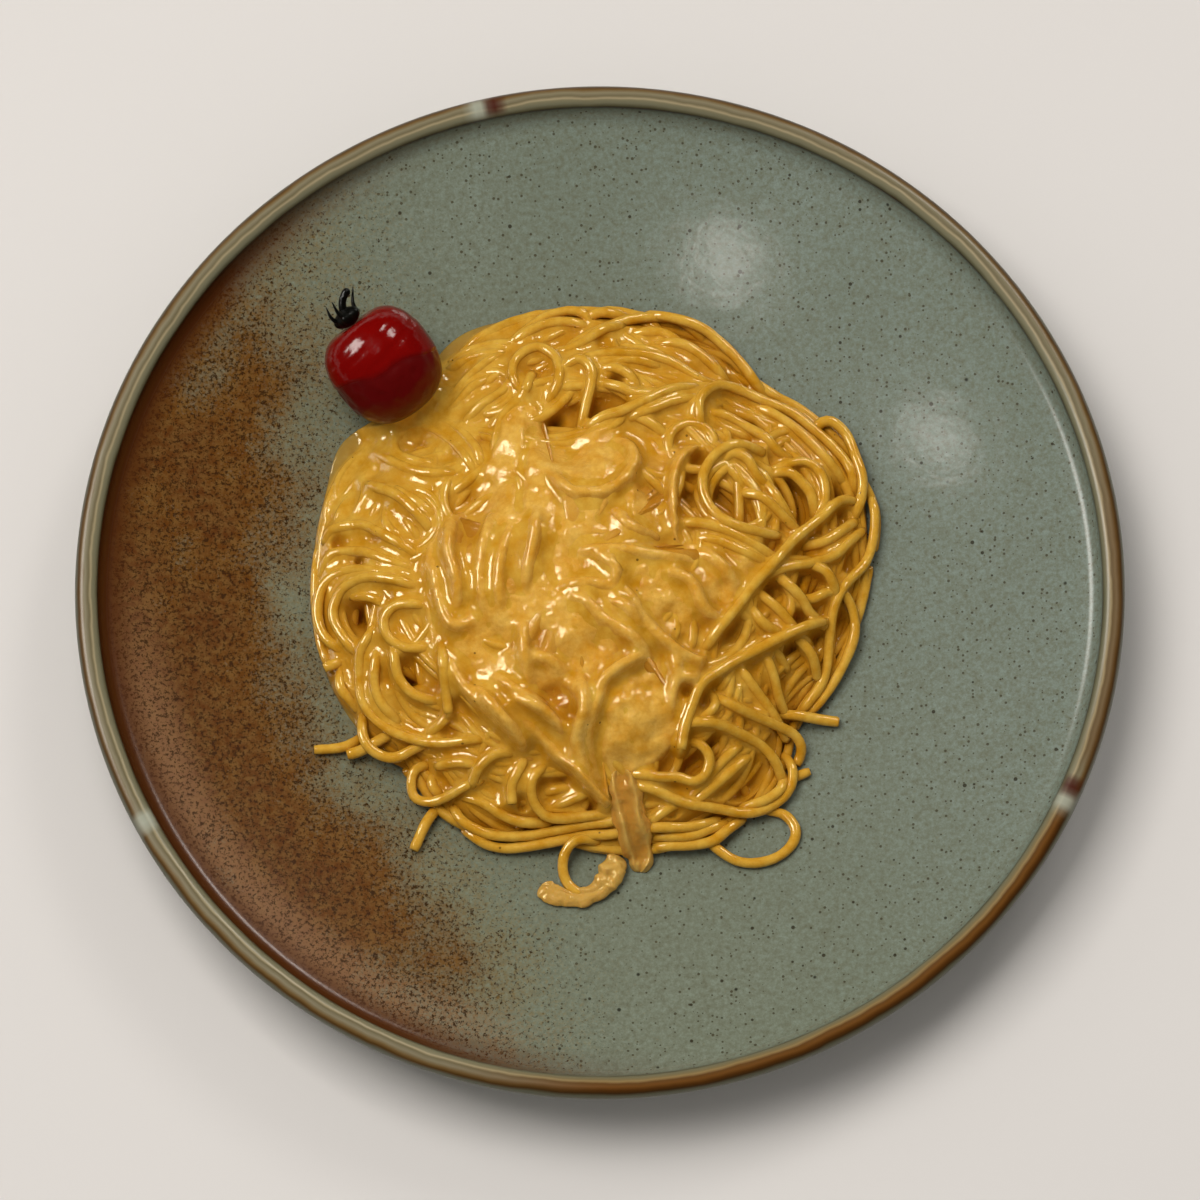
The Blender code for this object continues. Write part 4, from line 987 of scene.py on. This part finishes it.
def build_coat(heap, coat):
    """Thin sauce between the noodles, over the heap's own core, down to the plate."""
    steps = 720
    bearing = np.arange(steps) * TAU / steps
    spans = ((0.012, 0.3, 8), (0.31, 0.92, 104), (0.926, 1.0, 22))  # shares of the reach: from, to, rings
    share = np.concatenate([np.linspace(*span) for span in spans])
    reaches = share[:, None] * sauce_outline(bearing)

    def top(x, y):
        reach, at = polar(x, y)
        inside = np.clip(sauce_outline(at) - reach, 0, None)
        plate = well_height(np.hypot(x, y))
        roof = plate + np.sqrt(7.0 * inside + 0.02) + 0.14 * inside**2
        film = plate + 0.25 + 0.7 * np.sqrt(np.clip(inside / 3.0, 0, 1))
        return np.clip(heap.read(coat, x, y), np.minimum(film, roof), roof)

    def bottom(x, y):
        return well_height(np.hypot(x, y)) + 0.06

    points, blocks = dome_body(HEAP_CENTRE, bearing, reaches, top, bottom)
    x, y, z = points.T
    film = 1 - step(z - well_height(np.hypot(x, y)), 0.3, 2.2)
    return add_mesh("sauce_between_noodles", points, blocks, SAUCE,
                    {"depth": heap.depth_of(points), "film": film})


def build_blanket(heap, blanket, depth):
    """Thick parmesan sauce over the crown, with an edge that dips between the noodles."""
    steps = 560
    bearing = np.arange(steps) * TAU / steps
    centre = (-7.0, 3.0)
    reach = np.linspace(1.0, 62.0, 245)[:, None]
    inside = heap.read(depth, centre[0] + reach * np.cos(bearing), centre[1] + reach * np.sin(bearing)) > -0.5
    out = np.array([reach[np.flatnonzero(column)[-1], 0] for column in inside.T])
    lap = 12
    out = smooth(np.concatenate([out[-lap:], out, out[:lap]]), 3)[lap:-lap]
    reaches = np.linspace(0.01, 1, 165)[:, None] * out

    def top(x, y):
        return heap.read(blanket, x, y)

    def bottom(x, y):
        return heap.read(blanket, x, y) - 1.5

    points, blocks = dome_body(centre, bearing, reaches, top, bottom)
    piece = add_mesh("parmesan_sauce_blanket", points, blocks, THICK,
                     {"depth": heap.depth_of(points), "film": np.zeros(len(points))})
    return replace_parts(piece, "parmesan_sauce")


def pasta_finish(name, thick):
    """Sauce-coated pasta: golden, opaque, wet, with amber to brown painted shade where it lies deep."""
    made, tree, shader = new_material(name)
    place = add(tree, "TexCoord", out="Object")
    depth = add(tree, "Attribute", out="Fac", attribute_name="depth")
    curds, grain, ripple = [
        add(tree, "TexNoise", {"Vector": place, "Scale": 1000 / size, "Detail": detail, "Roughness": rough})
        for size, detail, rough in ((5.0, 5, 0.62), (1.1, 3, 0.7), (1.7, 4 if thick else 3, 0.6))]
    # Cream and fat part a little as the sauce cools: pale curds, gold between, amber grain, and amber painted
    # shade where it lies deep.
    pale, gold, amber = ("e5b856", "d0952a", "aa6b0c") if thick else ("d9ad45", "c58c1d", "ac7006")
    grain = add(tree, "MapRange", (grain, 0.35, 0.7))
    low = add(tree, "MapRange", (depth, 0.3, 2.4 if thick else 3.4))
    pepper = specks(tree, place, 3.2, 8.0, 0.12, (-0.01, 0.02), 0.7)
    # Deepest below the crest, the painted shade turns from amber to brown.
    colour = layered(tree, gold, (add(tree, "MapRange", (curds, 0.33, 0.67)), pale),
                     (add(tree, "Math", (grain, 0.22 if thick else 0.12), operation="MULTIPLY"), amber),
                     (add(tree, "Math", (low, 0.8 if thick else 0.65), operation="MULTIPLY"), amber),
                     (add(tree, "MapRange", (depth, 3.0, 9.0)), "965a05"), (pepper, "3a2108"))
    if name == "parmesan sauce, thin":
        film = add(tree, "Attribute", out="Fac", attribute_name="film")
        colour = layered(tree, colour, (add(tree, "Math", (film, 0.8), operation="MULTIPLY"), "85703a"))
    strength = 0.6 if thick else 0.35
    wire(tree, shader, {
        "Base Color": colour, "Roughness": 0.1, "IOR": 1.52, "Specular Tint": "fff6dc",
        "Subsurface Weight": 0.12, "Subsurface Radius": (1.0, 0.8, 0.35), "Subsurface Scale": 0.0008,
        "Normal": add(tree, "Bump", {"Strength": strength, "Distance": 0.0004, "Height": ripple}),
    })
    return made


PASTA = pasta_finish("wet pasta", False)
SAUCE = pasta_finish("parmesan sauce, thin", False)
THICK = pasta_finish("parmesan sauce, thick", True)


# ---------------------------------------------------------------- cherry tomato

TOMATO_RADIUS = 13.9
TOMATO_LENGTH = 14.8  # half
DIMPLE = 2.6  # depth of the hollow about the stalk
STALK_BEARING = 129.0
STALK_TILT = 17.0


def tomato_axes():
    """Stalk direction of the tomato and two directions across it."""
    bearing = math.radians(STALK_BEARING)
    tilt = math.radians(STALK_TILT)
    stalk = np.array([math.cos(tilt) * math.cos(bearing), math.cos(tilt) * math.sin(bearing), math.sin(tilt)])
    across = np.array([-math.sin(bearing), math.cos(bearing), 0.0])
    return stalk, across, np.cross(stalk, across)


def build_tomato():
    """A squarish ball about the stalk's axis: a section carried round it, dimpled at the stalk end,

    with a step half way where the skin has slipped, and soft wrinkles below it.
    """
    stalk, across, upward = tomato_axes()
    steps = 160
    angle = np.arange(steps) * TAU / steps
    spans = ((177, 112, 46), (111, 40, 110), (39, 3, 24))  # degrees from the stalk: from, to, rings
    turn = np.radians(np.concatenate([np.linspace(*span) for span in spans]))
    degrees = np.degrees(turn)[:, None]
    power = 2 / 2.5
    width = TOMATO_RADIUS * np.sin(turn) ** power
    along = TOMATO_LENGTH * np.sign(np.cos(turn)) * np.abs(np.cos(turn)) ** power
    hollow = np.exp(-((width / (0.42 * TOMATO_RADIUS)) ** 2))
    along = np.where(turn < math.pi / 2, along - DIMPLE * hollow, along)
    edge = 93 - 12 * np.cos(angle) + 2.6 * np.sin(angle * 2 + 0.6) + 1.6 * np.sin(angle * 5 + 2)
    below = step(degrees, edge - 2.5, edge + 2.5)
    wrinkle = 0.16 * swell(angle * 14, degrees * 0.25, 2.2, 21)
    radius = width[:, None] - 0.3 * below + wrinkle * below * (width[:, None] / TOMATO_RADIUS)
    radius = radius * (1 + 0.012 * np.sin(3 * angle + 0.5) + 0.01 * np.sin(5 * angle))
    crinkle = swell(3.2 * angle + 0.25 * degrees, degrees + 9 * angle, 6.5, 22)
    radius = radius + 0.11 * crinkle * (1 - below) * np.sin(turn)[:, None] ** 2
    spoke = np.cos(angle)[:, None] * across + np.sin(angle)[:, None] * upward
    rings = along[:, None, None] * stalk + radius[:, :, None] * spoke[None]
    points = np.vstack([[-TOMATO_LENGTH * stalk], rings.reshape(-1, 3), [(TOMATO_LENGTH - DIMPLE) * stalk]])
    low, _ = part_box("cherry_tomato")
    centre = np.array([*TOMATO_CENTRE, low[2] / MM - points[:, 2].min()])
    slipped = np.concatenate([[1.0], below.ravel(), [0.0]])
    piece = add_mesh("cherry_tomato_flesh", points + centre, tube_faces(len(turn), steps), TOMATO,
                     {"slipped": slipped})
    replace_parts(piece, "cherry_tomato")
    return centre


def tomato_finish():
    """Roasted cherry tomato skin: deep red and glossy, duller and darker where the skin has slipped."""
    made, tree, shader = new_material("tomato skin")
    place = add(tree, "TexCoord", out="Object")
    slipped = add(tree, "Attribute", out="Fac", attribute_name="slipped")
    mottle, ripple = [add(tree, "TexNoise", {"Vector": place, "Scale": 1000 / size, "Detail": 4.0})
                      for size in (6.0, 3.0)]
    wire(tree, shader, {
        "Base Color": layered(tree, "670302", (mottle, "7c0603"), (slipped, "570101")),
        "Roughness": add(tree, "MapRange", {0: slipped, 3: 0.14, 4: 0.3}),
        "IOR": 1.42, "Specular IOR Level": 0.32,
        "Normal": add(tree, "Bump", {"Strength": 0.35, "Distance": 0.0006, "Height": ripple}),
    })
    return made


TOMATO = tomato_finish()


# ---------------------------------------------------------------- calyx and stalk

CALYX_RADIUS = 3.7
CALYX_DEPTH = 2.5


def limb(places, radii, steps, flat=1.0):
    """A tapering limb: a section carried along a smooth line, its ends rounded off."""
    line = evenly(np.column_stack([places, radii]), 0.25)
    axis, radius = line[:, :3], line[:, 3]
    run = 0.25 * np.minimum(np.arange(len(axis)), np.arange(len(axis))[::-1])
    radius = radius * np.sqrt(1 - (1 - np.clip((run + 0.04) / radius, 0, 1)) ** 2)
    heading = np.gradient(axis, axis=0)
    heading /= np.linalg.norm(heading, axis=1)[:, None]
    side = np.cross(heading, [0.3, 0.9, 0.2])
    side /= np.linalg.norm(side, axis=1)[:, None]
    other = np.cross(heading, side) * flat
    angle = np.arange(steps) * TAU / steps
    spoke = np.cos(angle)[:, None] * side[:, None] + np.sin(angle)[:, None] * other[:, None]
    rings = axis[:, None] + radius[:, None, None] * spoke
    points = np.vstack([axis[:1], rings.reshape(-1, 3), axis[-1:]])
    return (points, *tube_faces(len(axis), steps))


def joined(parts):
    """Points and face blocks of several closed bodies together."""
    blocks = []
    first = 0
    for body, sides, fans in parts:
        blocks += [sides + first, fans + first]
        first += len(body)
    return np.vstack([body for body, _, _ in parts]), blocks


def build_calyx(centre):
    """A dark puckered dome turned about the stalk, a bent stub, and sepals that curl back."""
    stalk, across, upward = tomato_axes()
    floor = centre + (TOMATO_LENGTH - DIMPLE + 0.7) * stalk

    def at(sideways, up, out):
        return floor + sideways * across + up * upward + out * stalk

    steps = 60
    angle = np.arange(steps) * TAU / steps
    turn = np.radians(np.linspace(170, 6, 40))
    pucker = 1 + 0.07 * np.cos(5 * angle + 0.4) * np.sin(turn)[:, None] + 0.03 * np.cos(11 * angle)
    reach = CALYX_RADIUS * np.sin(turn)[:, None] ** 1.2 * pucker
    spoke = np.cos(angle)[:, None] * across + np.sin(angle)[:, None] * upward
    height = CALYX_DEPTH * (1 + np.cos(turn))
    rings = floor + height[:, None, None] * stalk + reach[:, :, None] * spoke
    dome = np.vstack([[at(0, 0, 0.02)], rings.reshape(-1, 3), [at(0, 0, 2 * CALYX_DEPTH)]])
    parts = [(dome, *tube_faces(len(turn), steps))]
    stub = [at(0, 0, 3), at(-0.6, 0.4, 5.4), at(-2.2, 0.8, 7.2), at(-4.6, 0.8, 8.2)]
    parts.append(limb(stub, [1.35, 1.05, 1.0, 1.15], 16))
    for sideways, up, curl in ((-1, 0.1, 2.4), (1, 0.3, 0.6), (0.5, 1, 0.4), (0.2, -1, 0.5)):
        places = [at(1.2 * sideways, 1.2 * up, CALYX_DEPTH + 1.6),
                  at(2.7 * sideways, 2.3 * up, CALYX_DEPTH + 0.4),
                  at(3.6 * sideways, 3.0 * up, CALYX_DEPTH + 2.4),
                  at(3.6 * sideways - curl, 3.4 * up, CALYX_DEPTH + 5.4)]
        parts.append(limb(places, [0.75, 0.95, 0.75, 0.2], 12, 0.62))
    points, blocks = joined(parts)
    piece = add_mesh("calyx_and_stalk", points, blocks, calyx_finish())
    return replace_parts(piece, "tomato_calyx")


def calyx_finish():
    """Charred green: almost black, its wrinkled skin catching a little light."""
    made, tree, shader = new_material("charred calyx")
    place = add(tree, "TexCoord", out="Object")
    grain = add(tree, "TexNoise", {"Vector": place, "Scale": 1000 / 1.2, "Detail": 4.0})
    wire(tree, shader, {
        "Base Color": layered(tree, "030302", (grain, "0c0c07")),
        "Roughness": 0.32, "Specular IOR Level": 0.22,
        "Normal": add(tree, "Bump", {"Strength": 0.6, "Distance": 0.0004, "Height": grain}),
    })
    return made


# ---------------------------------------------------------------- melted cheese

RIBBON_PATH = (
    (6.0, -48.5), (6.2, -52.6), (7.0, -56.5), (7.7, -60.3), (9.0, -64.8), (10.3, -68.5), (10.0, -72.2),
)
CURL_PATH = (
    (-15.2, -76.0), (-12, -78.6), (-8, -79.6), (-4, -79.4), (-0.5, -77.6), (2.2, -74.6), (3.6, -71.2),
    (5.4, -68.2),
)


def leftward(path):
    """The level directions to the left of a line of plan places."""
    heading = np.gradient(path, axis=0)
    heading /= np.linalg.norm(heading, axis=1)[:, None]
    return np.column_stack([-heading[:, 1], heading[:, 0]])


def ended(count, gap, over):
    """1 along a strip and rounding to nothing over its last stretch at each end."""
    run = gap * np.minimum(np.arange(count), np.arange(count)[::-1])
    return np.sqrt(1 - (1 - np.clip((run + 0.05) / over, 0, 1)) ** 2)[:, None]


def strip(path, across, up, base):
    """A closed body from a section given at each place of a line: leftward and upward parts."""
    level = path[:, None] + across[:, :, None] * leftward(path)[:, None]
    rings = np.concatenate([level, (base[:, None] + up)[:, :, None]], -1)
    middle = rings.mean(axis=1)
    points = np.vstack([middle[:1], rings.reshape(-1, 3), middle[-1:]])
    return (points, *tube_faces(len(path), across.shape[1]))


def build_ribbon(heap):
    """A strip of cheese that hangs down the near flank: a thin web between two thick, wavy rims.

    The section is a low curve with a bump near each side; the bumps wander, swell and pinch along it.
    """
    gap = 0.3
    path = evenly(RIBBON_PATH, gap)
    run = np.linspace(0, 1, len(path))[:, None]
    i, j, away = heap.cells(path)
    ground = np.where(away < 1.8, np.maximum(heap.top, heap.plate)[i, j], -1000).max(axis=1)
    tucked = 1.6 * (1 - step(run[:, 0], 0.04, 0.24))
    base = smooth(smooth(ground, 7), 7) - 0.2 - tucked
    share = np.linspace(-1, 1, 45)
    width = np.interp(run, (0, 0.5, 0.72, 0.86, 1), (4.0, 4.4, 4.4, 3.4, 2.6))
    ragged = 0.35 * np.sin(17 * run + 0.6) + 0.22 * np.sin(41 * run)
    side = share * (width + ragged * np.sign(share) * np.abs(share) ** 3)
    left_rim = 0.66 - 0.16 * run + 0.07 * np.sin(9 * run)
    right_rim = -0.42 - 0.3 * run + 0.08 * np.sin(11 * run + 2)
    bumps = (1.5 + 0.35 * np.sin(14 * run)) * np.exp(-(((share - left_rim) / 0.2) ** 2))
    bumps = bumps + (1.7 + 0.4 * np.sin(12 * run + 1)) * np.exp(-(((share - right_rim) / 0.23) ** 2))
    bumps = bumps + 0.25 * swell(run * 22, 3 * share, 1.2, 33)
    bumps = bumps + 1.0 * step(run, 0.86, 0.96) * (1 + 0.4 * np.sin(9 * share))
    skin = np.sqrt(1 - share**2 + 0.001)
    shape = ended(len(path), gap, 2.2)
    upper = (0.5 + bumps) * skin * shape
    lower = -0.5 * skin * shape
    side = side * (0.35 + 0.65 * shape)
    across = np.concatenate([side[:, ::-1], side[:, 1:-1]], 1)
    up = np.concatenate([upper[:, ::-1], lower[:, 1:-1]], 1)
    points, sides, fans = strip(path, -across, up, base)
    rim = np.clip(bumps / 1.5, 0, 1)
    rims = np.concatenate([rim[:, ::-1], rim[:, 1:-1]], 1)
    rims = np.concatenate([[0.5], rims.ravel(), [0.8]])
    piece = add_mesh("melted_cheese_ribbon", points, (sides[:, ::-1], fans[:, ::-1]), CHEESE,
                     {"rim": rims})
    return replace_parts(piece, "cheese_ribbon")


def build_curl():
    """A lumpy rope of cheese on the plate: a ring-like knot at its right end, a flat tail at its left."""
    gap = 0.3
    path = evenly(CURL_PATH, gap)
    run = np.linspace(0, 1, len(path))[:, None]
    angle = np.arange(56) * TAU / 56
    side = np.cos(angle)
    lumps = 1 + 0.13 * swell(run * 34, 2.6 * side + 4, 2.6, 31)
    lumps = lumps + 0.07 * swell(run * 34, 2.6 * side + 9, 1.1, 32)
    knot = np.exp(-(((run - 0.8) / 0.16) ** 2))
    width = (2.45 + 0.9 * knot + 0.5 * np.exp(-(((run - 0.1) / 0.12) ** 2))) * lumps
    rise = (0.95 + 0.75 * run + 0.75 * knot) * lumps
    shape = ended(len(path), gap, 2.0)
    hollow = 1.3 * knot * np.exp(-((side / 0.35) ** 2)) * np.exp(-(((run - 0.78) / 0.07) ** 2))
    groove = 0.5 * np.exp(-(((side - 0.3 - 0.4 * np.sin(7 * run)) / 0.2) ** 2)) * (1 - knot)
    up = rise * (1 + np.sin(angle)) * shape - (hollow + groove) * (np.sin(angle) > 0)
    base = well_height(np.hypot(*path.T)) + 0.3
    points, sides, fans = strip(path, width * side * shape, up, base)
    thin = np.clip(0.55 + 0.3 * np.sin(angle) + 0.3 * knot - 0.3 * hollow, 0, 1)
    rims = np.concatenate([[1.0], np.broadcast_to(thin, width.shape).ravel(), [1.0]])
    piece = add_mesh("melted_cheese_curl", points, (sides, fans), CHEESE, {"rim": rims})
    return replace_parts(piece, "cheese_curl")


def cheese_finish():
    """Melted parmesan: pale waxy rims, a thin web that the pan has turned amber, and a wet skin."""
    made, tree, shader = new_material("melted parmesan")
    place = add(tree, "TexCoord", out="Object")
    rim = add(tree, "Attribute", out="Fac", attribute_name="rim")
    cloud, fine = [add(tree, "TexNoise", {"Vector": place, "Scale": 1000 / size, "Detail": detail})
                   for size, detail in ((3.0, 4.0), (1.4, 3.0))]
    web = layered(tree, "b47c2a", (cloud, "c28f3e"))
    wire(tree, shader, {
        "Base Color": layered(tree, web, (rim, layered(tree, "bd9340", (cloud, "d0aa5a")))),
        "Roughness": 0.12, "IOR": 1.55, "Specular Tint": "fff0c0",
        "Subsurface Weight": 0.4, "Subsurface Radius": (1.0, 0.6, 0.25), "Subsurface Scale": 0.0014,
        "Normal": add(tree, "Bump", {"Strength": 0.6, "Distance": 0.0005, "Height": fine}),
    })
    return made


CHEESE = cheese_finish()


# ---------------------------------------------------------------- stage, lights and camera

CAMERA_RISE = 74.63
CAMERA_REACH = 3000.0
AIM = (0.0, -3.48, 25.8)


def aim(thing, target):
    """Turn a camera or lamp to look at a place."""
    look = Vector(target) - thing.location
    thing.rotation_euler = look.to_track_quat("-Z", "Y").to_euler()


def lamp(name, bearing, rise, reach, width, height, power, colour):
    """A soft box at a bearing and rise from the plate, facing it."""
    light = bpy.data.lights.new(name, "AREA")
    light.shape = "RECTANGLE"
    light.size = width
    light.size_y = height
    light.energy = power
    light.color = srgb(colour)[:3]
    thing = bpy.data.objects.new(name, light)
    level = math.cos(math.radians(rise)) * reach
    thing.location = (level * math.cos(math.radians(bearing)), level * math.sin(math.radians(bearing)),
                      math.sin(math.radians(rise)) * reach)
    bpy.context.scene.collection.objects.link(thing)
    aim(thing, (0, 0, 0.02))
    return thing


def build_stage():
    """A pale floor, a soft sky, soft boxes and the camera."""
    made, tree, shader = new_material("pale painted floor")
    place = add(tree, "TexCoord", out="Object")
    cloud = add(tree, "TexNoise", {"Vector": place, "Scale": 6.0, "Detail": 2.0})
    wire(tree, shader, {"Base Color": layered(tree, "d8d6d4", (cloud, "dcdad8")), "Roughness": 0.9})
    mesh = bpy.data.meshes.new("floor")
    half = 3.0  # metres
    corners = [(-half, -half, 0), (half, -half, 0), (half, half, 0), (-half, half, 0)]
    mesh.from_pydata(corners, [], [(0, 1, 2, 3)])
    mesh.materials.append(made)
    floor = bpy.data.objects.new("floor", mesh)
    bpy.context.scene.collection.objects.link(floor)
    world = bpy.data.worlds.new("sky")
    world.use_nodes = True
    sky = world.node_tree.nodes["Background"]
    sky.inputs["Color"].default_value = srgb("f8f3ee")
    sky.inputs["Strength"].default_value = 0.34
    bpy.context.scene.world = world
    world.cycles_visibility.glossy = False
    # Broad soft boxes give the body of the light; smaller bright ones are seen only as wet glints.
    for name, bearing, rise, reach, width, height, power in (
            ("soft_box", 148, 69, 3.0, 1.7, 1.7, 68.0), ("soft_far_right", 58, 45, 3.0, 0.7, 0.7, 11.0)):
        lamp(name, bearing, rise, reach, width, height, power, "fffaf4").visible_glossy = False
    for name, bearing, rise, reach, width, height, power in (
            ("window_left", 166, 38, 3.0, 1.4, 1.1, 106.0), ("window_far_right", 58, 39, 3.0, 0.9, 0.5, 30.0),
            ("lamp_over", 177, 84.7, 3.0, 0.17, 0.09, 0.62), ("lamp_side", 149, 73.5, 3.0, 0.09, 0.16, 0.5)):
        lamp(name, bearing, rise, reach, width, height, power, "fffbf4").visible_diffuse = False
    camera = bpy.data.cameras.new("camera")
    camera.sensor_width = 36.0
    camera.lens = 350.15
    camera.clip_start = 0.05
    eye = bpy.data.objects.new("camera", camera)
    rise = math.radians(CAMERA_RISE)
    level = CAMERA_REACH * math.cos(rise)
    eye.location = Vector((AIM[0], AIM[1] - level, AIM[2] + CAMERA_REACH * math.sin(rise))) * MM
    bpy.context.scene.collection.objects.link(eye)
    aim(eye, Vector(AIM) * MM)
    bpy.context.scene.camera = eye
    bpy.context.scene.view_settings.view_transform = "Standard"


build_plate()
heap, laid, over, coat, blanket, depth = build_heap()
half = len(laid) // 2
build_noodles("noodles_low", laid[:half], heap)
build_noodles("noodles_high", laid[half:], heap)
build_noodles("noodles_top", over, heap, 12)
sauce = build_coat(heap, coat)
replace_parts(sauce, "spaghetti")
build_blanket(heap, blanket, depth)
build_calyx(build_tomato())
build_ribbon(heap)
build_curl()
build_stage()
